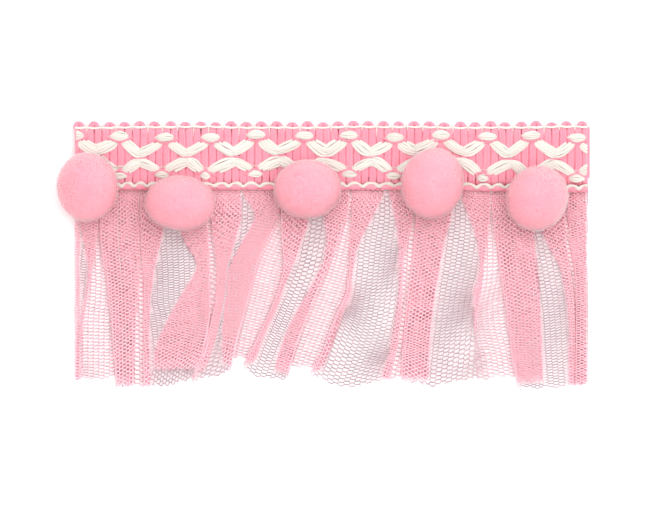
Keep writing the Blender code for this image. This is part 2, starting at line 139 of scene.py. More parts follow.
class GeometryTree:
    """A Geometry Nodes tree under construction, with named inputs for its sizes."""

    KINDS = {
        int: "NodeSocketInt",
        float: "NodeSocketFloat",
        bpy.types.Material: "NodeSocketMaterial",
    }

    def __init__(self, name: str, inputs: dict[str, type]) -> None:
        """Makes the tree with a geometry input and output, and the named inputs.

        Args:
            name: the tree's name.
            inputs: the type of each named input.
        """
        self.tree = bpy.data.node_groups.new(name, "GeometryNodeTree")
        sockets = self.tree.interface
        sockets.new_socket("Geometry", in_out="INPUT", socket_type="NodeSocketGeometry")
        self.names = {}
        for label, kind in inputs.items():
            made = sockets.new_socket(label, in_out="INPUT", socket_type=self.KINDS[kind])
            self.names[label] = made.identifier
        sockets.new_socket("Geometry", in_out="OUTPUT", socket_type="NodeSocketGeometry")
        self.inputs = self.tree.nodes.new("NodeGroupInput")
        self.end = self.tree.nodes.new("NodeGroupOutput")

    def given(self, label: str = "Geometry") -> bpy.types.NodeSocket:
        """The socket that brings in the geometry, or a named input."""
        return self.inputs.outputs[label]

    def add(self, kind: str, settings: Optional[dict] = None, **values: Any) -> bpy.types.Node:
        """Adds a node.

        Args:
            kind: the node's type, without the family that its name starts with, or the whole name.
            settings: the node's own properties.
            values: its inputs by socket name, spaces written as underscores. A socket is linked and
                anything else is set.

        Returns:
            The node.
        """
        whole = kind if "Node" in kind else "GeometryNode" + kind
        node = self.tree.nodes.new(whole)
        for name, value in (settings or {}).items():
            setattr(node, name, value)
        for name, value in values.items():
            self.feed(node, name.replace("_", " "), value)
        return node

    def feed(self, node: bpy.types.Node, name: str, value: Any) -> None:
        """Links or sets the enabled input of that name."""
        socket = next(s for s in node.inputs if s.name == name and s.enabled)
        if isinstance(value, bpy.types.Node):
            value = next(s for s in value.outputs if s.enabled)
        if isinstance(value, bpy.types.NodeSocket):
            self.tree.links.new(value, socket)
        else:
            socket.default_value = value

    def keep(self, geometry: Any, kind: str, value: Any) -> tuple[Any, Any]:
        """Captures a value on the points before they change.

        Args:
            geometry: what it is captured on.
            kind: the value's type.
            value: the socket with the value.

        Returns:
            The geometry's socket and the captured value's socket.
        """
        node = self.add("CaptureAttribute", {"domain": "POINT"})
        node.capture_items.new(kind, "Kept")
        self.tree.links.new(geometry, node.inputs["Geometry"])
        self.tree.links.new(value, node.inputs[1])
        return node.outputs["Geometry"], node.outputs[1]

    def store(self, geometry: Any, name: str, kind: str, value: Any, domain: str = "POINT") -> Any:
        """Stores a named attribute.

        Args:
            geometry: what it is stored on.
            name: the attribute's name.
            kind: its type.
            value: the socket with its value.
            domain: what it belongs to.

        Returns:
            The geometry's socket.
        """
        settings = {"data_type": kind, "domain": domain}
        node = self.add("StoreNamedAttribute", settings, Geometry=geometry, Name=name, Value=value)
        return node.outputs[0]

    def finish(self, geometry: Any, material: Any) -> None:
        """Realizes the instances, sets the material and ends the tree."""
        real = self.add("RealizeInstances", Geometry=geometry)
        dressed = self.add("SetMaterial", Geometry=real, Material=material)
        self.tree.links.new(dressed.outputs[0], self.end.inputs[0])

    def apply(self, thing: bpy.types.Object, **values: Any) -> bpy.types.Object:
        """Runs the tree on an object and leaves it as a plain mesh.

        Args:
            thing: the object whose mesh goes in.
            values: the tree's inputs by name, spaces written as underscores.

        Returns:
            The same object, with the result as its mesh and no modifier.
        """
        modifier = thing.modifiers.new(self.tree.name, "NODES")
        modifier.node_group = self.tree
        for label, value in values.items():
            modifier[self.names[label.replace("_", " ")]] = value
        graph = bpy.context.evaluated_depsgraph_get()
        made = bpy.data.meshes.new_from_object(thing.evaluated_get(graph))
        thing.modifiers.clear()
        thing.data = made
        made.name = thing.name
        return thing


def yarn_sweep_tree() -> GeometryTree:
    """The tree that turns lines into yarns: a round or flattened tube along each, with closed ends."""
    inputs = {"Sides": int, "Flatten": float, "Yarn Material": bpy.types.Material}
    tree = GeometryTree("Yarn sweep", inputs)
    width = tree.add("InputNamedAttribute", {"data_type": "FLOAT"}, Name="half_width").outputs["Attribute"]
    line = tree.add("MeshToCurve", Mesh=tree.given()).outputs[0]
    line, centre = tree.keep(line, "VECTOR", tree.add("InputPosition").outputs[0])
    line, along = tree.keep(line, "FLOAT", tree.add("SplineParameter").outputs["Length"])
    circle = tree.add("CurvePrimitiveCircle", Resolution=tree.given("Sides"), Radius=1.0).outputs[0]
    circle, around = tree.keep(circle, "FLOAT", tree.add("SplineParameter").outputs["Factor"])
    sweep = {"Curve": line, "Profile_Curve": circle, "Scale": width, "Fill_Caps": True}
    tube = tree.add("CurveToMesh", **sweep).outputs[0]
    offset = tree.add("ShaderNodeVectorMath", {"operation": "SUBTRACT"})
    tree.tree.links.new(tree.add("InputPosition").outputs[0], offset.inputs[0])
    tree.tree.links.new(centre, offset.inputs[1])
    squash = tree.add("ShaderNodeCombineXYZ", X=1.0, Y=1.0, Z=tree.given("Flatten"))
    flat = tree.add("ShaderNodeVectorMath", {"operation": "MULTIPLY_ADD"})
    for socket, source in zip(flat.inputs, (offset.outputs[0], squash.outputs[0], centre)):
        tree.tree.links.new(source, socket)
    tube = tree.add("SetPosition", Geometry=tube, Position=flat).outputs[0]
    yarn_uv = tree.add("ShaderNodeCombineXYZ", X=around, Y=along)
    tube = tree.store(tube, "yarn_uv", "FLOAT_VECTOR", yarn_uv)
    tube = tree.add("SetShadeSmooth", Geometry=tube, Shade_Smooth=True).outputs[0]
    tree.finish(tube, tree.given("Yarn Material"))
    return tree


def thread_net_tree() -> GeometryTree:
    """The tree that turns each edge of a lattice into a closed prism of thread, as thick as it says."""
    tree = GeometryTree("Thread net", {"Sides": int, "Net Material": bpy.types.Material})
    apart = tree.add("SplitEdges", Mesh=tree.given())
    kept = tree.add("InputNamedAttribute", {"data_type": "FLOAT"}, Name="half_width").outputs["Attribute"]
    apart = tree.store(apart, "thread", "FLOAT", kept)
    lines = tree.add("MeshToCurve", Mesh=apart)
    circle = tree.add("CurvePrimitiveCircle", Resolution=tree.given("Sides"), Radius=1.0)
    width = tree.add("InputNamedAttribute", {"data_type": "FLOAT"}, Name="thread").outputs["Attribute"]
    threads = tree.add("CurveToMesh", Curve=lines, Profile_Curve=circle, Scale=width, Fill_Caps=True)
    smooth = tree.add("SetShadeSmooth", Geometry=threads, Shade_Smooth=True)
    tree.finish(smooth.outputs[0], tree.given("Net Material"))
    return tree


# How long and thick the fibres are, as multiples of their usual size
FIBRE_SIZES = (0.7, 1.15)
FIBRE_SIZE_SEED = 7
FIBRE_SHADE_SEED = 3


def pile_tree() -> GeometryTree:
    """The tree that plants short tapered fibres all over a pompom's core."""
    inputs = {
        "Fibres Per Square Metre": float,
        "Fibre Length": float,
        "Fibre Radius": float,
        "Lean": float,
        "Seed": int,
        "Pile Material": bpy.types.Material,
    }
    tree = GeometryTree("Pompom pile", inputs)
    scatter = tree.add(
        "DistributePointsOnFaces",
        {"distribute_method": "RANDOM"},
        Mesh=tree.given(),
        Density=tree.given("Fibres Per Square Metre"),
        Seed=tree.given("Seed"),
    )
    cone = {"Vertices": 3, "Side_Segments": 1, "Fill_Segments": 1, "Radius_Top": 0.0}
    fibre = tree.add(
        "MeshCone", {"fill_type": "NGON"}, **cone, Radius_Bottom=tree.given("Fibre Radius"),
        Depth=tree.given("Fibre Length"),
    ).outputs["Mesh"]
    height = tree.add("ShaderNodeSeparateXYZ", Vector=tree.add("InputPosition")).outputs["Z"]
    reach = tree.add("ShaderNodeMath", {"operation": "DIVIDE"})
    tree.tree.links.new(height, reach.inputs[0])
    tree.tree.links.new(tree.given("Fibre Length"), reach.inputs[1])
    fibre = tree.store(fibre, "tip", "FLOAT", reach)
    lean = tree.given("Lean")
    backwards = tree.add("ShaderNodeMath", {"operation": "MULTIPLY"})
    tree.tree.links.new(lean, backwards.inputs[0])
    backwards.inputs[1].default_value = -1.0
    low = tree.add("ShaderNodeCombineXYZ", X=backwards, Y=backwards, Z=0.0)
    high = tree.add("ShaderNodeCombineXYZ", X=lean, Y=lean, Z=math.tau)
    turn = tree.add("FunctionNodeRandomValue", {"data_type": "FLOAT_VECTOR"}, Min=low, Max=high)
    tilt = tree.add("FunctionNodeRotateRotation", {"rotation_space": "LOCAL"}, Rotate_By=turn)
    tree.tree.links.new(scatter.outputs["Rotation"], tilt.inputs["Rotation"])
    number = {"data_type": "FLOAT"}
    least, most = FIBRE_SIZES
    size = tree.add("FunctionNodeRandomValue", number, Min=least, Max=most, Seed=FIBRE_SIZE_SEED)
    hairs = tree.add(
        "InstanceOnPoints", Points=scatter.outputs["Points"], Instance=fibre, Rotation=tilt, Scale=size
    ).outputs[0]
    shade = tree.add("FunctionNodeRandomValue", number, Min=0.0, Max=1.0, Seed=FIBRE_SHADE_SEED)
    hairs = tree.store(hairs, "tint", "FLOAT", shade, "INSTANCE")
    both = tree.add("JoinGeometry")
    tree.tree.links.new(hairs, both.inputs[0])
    tree.tree.links.new(tree.given(), both.inputs[0])
    smooth = tree.add("SetShadeSmooth", Geometry=both, Shade_Smooth=True)
    tree.finish(smooth.outputs[0], tree.given("Pile Material"))
    return tree


# --- Materials --------------------------------------------------------------------------------------


class ShaderGroup:
    """A shader node group under construction, with named inputs and outputs."""

    KINDS = {"value": "NodeSocketFloat", "vector": "NodeSocketVector", "colour": "NodeSocketColor"}

    def __init__(self, name: str, inputs: dict[str, str], outputs: dict[str, str]) -> None:
        """Makes the group and its sockets.

        Args:
            name: the group's name.
            inputs: the kind of each named input, a key of KINDS.
            outputs: the kind of each named output.
        """
        self.tree = bpy.data.node_groups.new(name, "ShaderNodeTree")
        for label, kind in inputs.items():
            self.tree.interface.new_socket(label, in_out="INPUT", socket_type=self.KINDS[kind])
        for label, kind in outputs.items():
            self.tree.interface.new_socket(label, in_out="OUTPUT", socket_type=self.KINDS[kind])
        self.start = self.tree.nodes.new("NodeGroupInput")
        self.end = self.tree.nodes.new("NodeGroupOutput")

    def add(self, kind: str, settings: dict, *sources: Any) -> bpy.types.Node:
        """Adds a node and feeds its inputs in order: a socket is linked, a number set, None left."""
        return add_shader_node(self.tree, kind, settings, *sources)

    def put_out(self, label: str, source: bpy.types.NodeSocket) -> None:
        """Links a socket to a named output."""
        self.tree.links.new(source, self.end.inputs[label])


def add_shader_node(tree: bpy.types.NodeTree, kind: str, settings: dict, *sources: Any) -> bpy.types.Node:
    """Adds a shader node.

    Args:
        tree: the tree that it goes into.
        kind: the node's type, without "ShaderNode".
        settings: the node's own properties.
        sources: what feeds its enabled inputs in order. A socket is linked, None is left as it is and
            anything else is set.

    Returns:
        The node.
    """
    node = tree.nodes.new("ShaderNode" + kind)
    for name, value in settings.items():
        setattr(node, name, value)
    enabled = [socket for socket in node.inputs if socket.enabled]
    for socket, source in zip(enabled, sources):
        if isinstance(source, bpy.types.NodeSocket):
            tree.links.new(source, socket)
        elif source is not None:
            socket.default_value = source
    return node


# How many octaves the fibres' noise and the mottle's have, and how strong the finer ones are
FIBRE_NOISE = (3.0, 0.6)
PATCH_NOISE = (2.0, 0.5)


def fibre_grain_group() -> bpy.types.NodeTree:
    """The fine fibres of a yarn: stretched noise for the height, and a soft mottle for the colour."""
    group = ShaderGroup(
        "Fibre grain",
        {"Vector": "vector", "Stretch": "vector", "Fineness": "value", "Patch Size": "value"},
        {"Height": "value", "Mottle": "value"},
    )
    given = group.start.outputs
    stretched = group.add("VectorMath", {"operation": "MULTIPLY"}, given["Vector"], given["Stretch"])
    fibres = group.add("TexNoise", {}, stretched.outputs[0], given["Fineness"], *FIBRE_NOISE)
    patches = group.add("TexNoise", {}, given["Vector"], given["Patch Size"], *PATCH_NOISE)
    group.put_out("Height", fibres.outputs[0])
    group.put_out("Mottle", patches.outputs[0])
    return group.tree


def dye_and_painted_shade_group() -> bpy.types.NodeTree:
    """A yarn's colour: three shades in turn, by its tint and a mottle over its surface. The tint is the
    yarn's own dye, and for the net and the braid's warp also painted light and shade.
    """
    group = ShaderGroup(
        "Dye and painted shade",
        {"Pale": "colour", "Middle": "colour", "Deep": "colour", "Tint": "value", "Mottle": "value",
         "Spread": "value"},
        {"Colour": "colour"},
    )
    given = group.start.outputs
    centred = group.add("Math", {"operation": "SUBTRACT"}, given["Mottle"], 0.5)
    swung = group.add("Math", {"operation": "MULTIPLY"}, centred.outputs[0], given["Spread"])
    share = group.add("Math", {"operation": "ADD", "use_clamp": True}, given["Tint"], swung.outputs[0])
    first = group.add("Math", {"operation": "MULTIPLY", "use_clamp": True}, share.outputs[0], 2.0)
    later = group.add("Math", {"operation": "MULTIPLY_ADD", "use_clamp": True}, share.outputs[0], 2.0, -1.0)
    colour = given["Pale"]
    for part, shade in ((first, "Middle"), (later, "Deep")):
        mixed = group.add("Mix", {"data_type": "RGBA"}, part.outputs[0], colour, given[shade])
        colour = next(socket for socket in mixed.outputs if socket.enabled)
    group.put_out("Colour", colour)
    return group.tree


class Coordinates(Enum):
    """What a finish's pattern follows."""

    OBJECT = "object"
    YARN = "yarn_uv"


@dataclass(frozen=True)
class Finish:
    """A yarn's finish.

    Args:
        name: the material's name.
        pale: its colour where the tint is 0, linear.
        middle: its colour where the tint is a half.
        deep: its colour where the tint is 1.
        tint: the attribute that mixes them.
        spread: how far the mottle swings the tint.
        roughness: the surface's roughness.
        sheen: the weight of its sheen.
        sheen_roughness: how soft its sheen is.
        specular: how strongly its surface reflects.
        follows: what the pattern follows.
        stretch: how the fibres' pattern is stretched along each axis.
        fineness: the fibres' scale.
        patch: the mottle's scale.
        relief: the height of the fibres in metres.
        bump: how much of that height shows.
        glow: the share of the light that goes into the yarn before it comes out again.
        glow_depth: how far it goes, in metres.
    """

    name: str
    pale: tuple[float, float, float]
    middle: tuple[float, float, float]
    deep: tuple[float, float, float]
    tint: str = "tint"
    spread: float = 0.4
    roughness: float = 0.8
    sheen: float = 0.1
    sheen_roughness: float = 0.6
    specular: float = 0.25
    follows: Coordinates = Coordinates.YARN
    stretch: tuple[float, float, float] = (1.0, 1.0, 1.0)
    fineness: float = 1000.0
    patch: float = 300.0
    relief: float = 0.05 * MM
    bump: float = 0.6
    glow: float = 0.0
    glow_depth: float = 0.3 * MM

    def build(self, groups: dict[str, bpy.types.NodeTree]) -> bpy.types.Material:
        """Makes the material.

        Args:
            groups: the shared node groups by name.

        Returns:
            The material.
        """
        material = bpy.data.materials.new(self.name)
        material.use_nodes = True
        tree = material.node_tree
        shader = tree.nodes["Principled BSDF"]
        shader.inputs["Roughness"].default_value = self.roughness
        shader.inputs["Sheen Weight"].default_value = self.sheen
        shader.inputs["Sheen Roughness"].default_value = self.sheen_roughness
        shader.inputs["Specular IOR Level"].default_value = self.specular
        shader.inputs["Subsurface Weight"].default_value = self.glow
        shader.inputs["Subsurface Radius"].default_value = (1.0, 1.0, 1.0)
        shader.inputs["Subsurface Scale"].default_value = self.glow_depth
        if self.follows is Coordinates.OBJECT:
            place = tree.nodes.new("ShaderNodeTexCoord").outputs["Object"]
        else:
            place = add_shader_node(tree, "Attribute", {"attribute_name": "yarn_uv"}).outputs["Vector"]
        grain = add_shader_node(
            tree, "Group", {"node_tree": groups["grain"]}, place, self.stretch, self.fineness, self.patch
        )
        tint = add_shader_node(tree, "Attribute", {"attribute_name": self.tint}).outputs["Fac"]
        colour = add_shader_node(
            tree, "Group", {"node_tree": groups["dye_and_shade"]}, (*self.pale, 1.0), (*self.middle, 1.0),
            (*self.deep, 1.0), tint, grain.outputs["Mottle"], self.spread,
        )
        bump = add_shader_node(tree, "Bump", {})
        bump.inputs["Strength"].default_value = self.bump
        bump.inputs["Distance"].default_value = self.relief
        tree.links.new(grain.outputs["Height"], bump.inputs["Height"])
        tree.links.new(colour.outputs["Colour"], shader.inputs["Base Color"])
        tree.links.new(bump.outputs["Normal"], shader.inputs["Normal"])
        return material


PINK_YARN = Finish(
    "pink_braid_yarn",
    pale=(0.79, 0.29, 0.36),
    middle=(0.75, 0.255, 0.33),
    deep=(0.62, 0.16, 0.235),
    stretch=(9.0, 400.0, 1.0),
    fineness=1.0,
    patch=2.0,
    relief=0.02 * MM,
    glow=0.6,
)
CREAM_YARN = Finish(
    "cream_braid_yarn",
    pale=(0.66, 0.65, 0.60),
    middle=(0.60, 0.585, 0.53),
    deep=(0.50, 0.47, 0.42),
    stretch=(10.0, 700.0, 1.0),
    fineness=1.0,
    patch=2.0,
    relief=0.03 * MM,
    glow=0.3,
)
# The net's three shades are painted light and shade: pale is the bright pink among layers, middle a paler
# painted light for panels alone behind, deep a grey painted shadow for threads alone in front
NET_YARN = Finish(
    "pink_net_yarn",
    pale=(0.96, 0.55, 0.62),
    middle=(0.80, 0.56, 0.60),
    deep=(0.30, 0.18, 0.22),
    spread=0.2,
    roughness=0.6,
    follows=Coordinates.OBJECT,
    fineness=9000.0,
    patch=700.0,
    relief=0.02 * MM,
    glow=0.5,
    glow_depth=0.1 * MM,
)
POMPOM_YARN = Finish(
    "pink_pompom_pile",
    pale=(0.98, 0.445, 0.52),
    middle=(0.98, 0.41, 0.485),
    deep=(0.97, 0.365, 0.445),
    spread=0.6,
    roughness=0.9,
    sheen=0.05,
    follows=Coordinates.OBJECT,
    fineness=5000.0,
    patch=220.0,
    relief=0.03 * MM,
    glow=1.0,
    glow_depth=0.8 * MM,
)


# --- Yarns ------------------------------------------------------------------------------------------


@dataclass
class Yarn:
    """One strand of yarn.

    Args:
        points: its middle line, one row of x, y and z for each point.
        half_width: its half width at each point.
        tint: 0 for the pale shade of its colour and 1 for the deep one. For the warp the deep pink is
            painted shade.
    """

    points: np.ndarray
    half_width: np.ndarray
    tint: float = 0.3


@dataclass
class YarnWork:
    """Strands that are swept together with the same number of sides and the same flatness."""

    name: str
    sides: int = 8
    flatten: float = 1.0
    yarns: list[Yarn] = field(default_factory=list)

    def lay(self, points: Any, half_width: Any, tint: float = 0.3) -> None:
        """Adds a strand, whose half width may be one number for all of it."""
        points = np.asarray(points, float)
        width = np.broadcast_to(np.asarray(half_width, float), len(points))
        self.yarns.append(Yarn(points, width, max(tint, 0.0)))

    def build(self, sweep: GeometryTree, material: bpy.types.Material) -> bpy.types.Object:
        """Sweeps every strand and returns them as one object."""
        points = np.concatenate([yarn.points for yarn in self.yarns])
        widths = np.concatenate([yarn.half_width for yarn in self.yarns])
        tints = np.concatenate([np.full(len(yarn.points), yarn.tint) for yarn in self.yarns])
        edges = []
        start = 0
        for yarn in self.yarns:
            edges += [(start + i, start + i + 1) for i in range(len(yarn.points) - 1)]
            start += len(yarn.points)
        mesh = bpy.data.meshes.new(self.name)
        mesh.from_pydata(points.tolist(), edges, [])
        store_floats(mesh, "half_width", widths)
        store_floats(mesh, "tint", tints)
        thing = link_object(self.name, mesh)
        return sweep.apply(thing, Sides=self.sides, Flatten=self.flatten, Yarn_Material=material)


def join_pieces(name: str, pieces: Sequence[bpy.types.Object]) -> bpy.types.Object:
    """Joins plain meshes that share a material into one object.

    Args:
        name: the joined object's name.
        pieces: the objects, which are removed.

    Returns:
        The joined object.
    """
    shell = bmesh.new()
    for piece in pieces:
        shell.from_mesh(piece.data)
    whole = pieces[0].data.copy()
    shell.to_mesh(whole)
    shell.free()
    for piece in pieces:
        bpy.data.objects.remove(piece, do_unlink=True)
    whole.name = name
    return link_object(name, whole)


# --- The braid --------------------------------------------------------------------------------------


RIB_PITCH = 1.525 * MM
FIRST_RIB_X = 0.04 * MM


def rib_places() -> np.ndarray:
    """The ribs' distances from the left cut end."""
    return np.arange(FIRST_RIB_X, TRIM_LENGTH - RIB_PITCH / 4, RIB_PITCH)


class Repeat(NamedTuple):
    """One repeat of the cream figures: x from the left cut end and y below the picot line, in mm."""

    oval_x: float
    oval_y: float
    cross_x: float
    cross_y: float
    arch_x: float
    arch_y: float
    foot_x: float
    foot_y: float
    foot_half: float


REPEATS = (
    Repeat(0.0, 2.0, 4.4, 5.6, 4.4, 6.7, 0.0, 9.8, 1.8),
    Repeat(8.9, 2.1, 12.9, 6.26, 13.0, 6.6, 8.9, 9.9, 1.8),
    Repeat(18.0, 2.4, 22.3, 6.1, 22.4, 6.3, 17.4, 9.7, 1.65),
    Repeat(27.2, 2.34, 31.6, 5.94, 32.0, 6.4, 26.1, 9.86, 1.2),
    Repeat(36.3, 1.86, 40.4, 5.72, 41.0, 6.2, 36.0, 9.46, 1.8),
    Repeat(45.9, 2.0, 50.1, 5.94, 50.0, 6.4, 45.2, 9.6, 1.8),
    Repeat(54.8, 1.94, 59.0, 6.04, 59.5, 6.3, 54.9, 9.6, 1.8),
    Repeat(64.0, 2.34, 68.0, 5.84, 68.2, 6.4, 63.8, 9.86, 1.8),
    Repeat(73.2, 1.94, 77.9, 6.0, 77.2, 6.3, 73.0, 9.8, 1.8),
    Repeat(82.5, 2.2, 86.6, 6.34, 87.2, 6.8, 81.6, 10.3, 1.35),
    Repeat(91.3, 2.0, 96.0, 6.34, 95.8, 6.7, 91.0, 10.4, 1.8),
    Repeat(100.4, 2.4, 104.8, 6.2, 104.8, 6.8, 100.4, 10.44, 1.9),
)


def figure_place(x_mm: float, below_mm: float) -> np.ndarray:
    """A place in the model's frame, as x and y, from the millimetres of REPEATS."""
    return np.array((LEFT_END + x_mm * MM, PICOT_LINE_Y - below_mm * MM))


@dataclass
class RibGround:
    """The braid's pink ground: front ribs, back ribs and the warp between them. Sizes in metres."""

    random: np.random.Generator
    top_y: float = 4.95 * MM
    foot_y: float = -6.35 * MM
    half_width: float = 0.8 * MM
    height: float = 2.1 * MM
    # Where the front ribs turn down, measured up from the middle and down from it, and by how much
    top_turn: tuple[float, float] = (4.2 * MM, 5.1 * MM)
    foot_turn: tuple[float, float] = (5.6 * MM, 6.4 * MM)
    turn_drop: float = 0.75 * MM
    # Where a front rib's plies lie in its half width, their own half width as a share of it, and how
    # much lower a ply at the rib's edge would lie
    ply_places: tuple[float, ...] = (-0.42, 0.0, 0.42)
    ply_share: float = 0.58
    ply_drop: float = 0.02 * MM
    # The cut ends push plies in. One that they would push by more than this share is left out
    most_pushed: float = 0.25
    sway: float = 0.04 * MM
    sway_length: float = 1.9 * MM
    # How fast the sway changes from rib to rib, in radians a metre
    sway_drift: float = 900.0
    tints: tuple[float, float] = (0.05, 0.3)
    # Where neighbouring ribs part a little, in mm below the picot line, and by how much at most
    slit_places: tuple[float, ...] = (2.2, 3.4, 5.6, 7.0, 8.3, 10.7)
    slit_shift: float = 0.25
    slit_depth: float = 0.17 * MM
    slit_half_length: float = 0.26 * MM
    upper_gap: tuple[float, float] = (3.0 * MM, 4.2 * MM)
    upper_gap_depth: float = 0.1 * MM
    back_foot_y: float = -5.05 * MM
    back_height: float = 0.5 * MM
    back_turn: tuple[float, float] = (4.0 * MM, 5.1 * MM)
    back_rise: float = 0.5 * MM
    back_shift: float = 0.05 * MM
    back_tints: tuple[float, float] = (0.2, 0.5)
    warp_strands: int = 7
    warp_top_y: float = 3.1 * MM
    warp_pitch: float = 1.15 * MM
    warp_height: float = 1.66 * MM
    warp_radius: float = 0.66 * MM
    warp_inset: float = 0.1 * MM
    warp_wave: float = 0.05 * MM
    warp_wave_length: float = 1.1 * MM
    # The warp's tint toward the deep pink is painted shade, so the slits between the ribs read dark
    warp_shade_tint: float = 0.6

    def width_along(self, y: np.ndarray) -> np.ndarray:
        """A rib's half width, with its slits and its upper gap drawn at random.

        Args:
            y: the y of each of its points.

        Returns:
            The half width at each of them.
        """
        width = np.full(len(y), self.half_width)
        for place in self.slit_places:
            centre = PICOT_LINE_Y - (place + self.random.uniform(-self.slit_shift, self.slit_shift)) * MM
            depth = self.slit_depth * self.random.uniform(0.0, 1.0)
            width -= depth * np.exp(-(((y - centre) / self.slit_half_length) ** 2))
        upper = self.upper_gap_depth * self.random.uniform(0.0, 1.0) ** 2
        width -= upper * smooth_step(y, *self.upper_gap)
        return width

    def front_ribs(self) -> YarnWork:
        """The front ribs, each a flat band of plies that lie half in each other."""
        work = YarnWork("braid_ribs", sides=7)
        y = np.linspace(self.top_y, self.foot_y, 30)
        turn_down = smooth_step(y, *self.top_turn) + smooth_step(-y, *self.foot_turn)
        for place in rib_places():
            width = self.width_along(y)
            sway = self.sway * np.sin(y / self.sway_length + place * self.sway_drift)
            tint = self.random.uniform(*self.tints)
            ply_width = width * self.ply_share
            for side in self.ply_places:
                x = LEFT_END + place + side * width + sway
                z = self.height - self.turn_drop * turn_down - self.ply_drop * abs(side)
                inside = np.clip(x, LEFT_END + ply_width, -LEFT_END - ply_width)
                if np.abs(inside - x).max() < self.half_width * self.most_pushed:
                    work.lay(np.stack([inside, y, z], 1), ply_width, tint)
        return work

    def back_ribs(self) -> YarnWork:
        """The ribs of the back, one flat strand each."""
        work = YarnWork("braid_back_ribs", sides=8, flatten=0.62)
        y = np.linspace(self.top_y, self.back_foot_y, 12)
        z = self.back_height + self.back_rise * smooth_step(y, *self.back_turn)
        for place in rib_places()[1:]:
            shift = self.random.uniform(-self.back_shift, self.back_shift)
            x = np.full(len(y), LEFT_END + place + shift)
            work.lay(np.stack([x, y, z], 1), self.half_width, self.random.uniform(*self.back_tints))
        return work

    def warp(self) -> YarnWork:
        """The warp between the front and back ribs, as almost straight deep pink strands: real yarn, whose
        deep pink is a painted shade for the slits between the ribs.
        """
        work = YarnWork("braid_warp", sides=8, flatten=0.8)
        x = np.linspace(LEFT_END + self.warp_inset, -LEFT_END - self.warp_inset, 60)
        z = np.full(len(x), self.warp_height)
        for number in range(self.warp_strands):
            middle = self.warp_top_y - self.warp_pitch * number
            y = middle + self.warp_wave * np.sin(x / self.warp_wave_length)
            work.lay(np.stack([x, y, z], 1), self.warp_radius, self.warp_shade_tint)
        return work


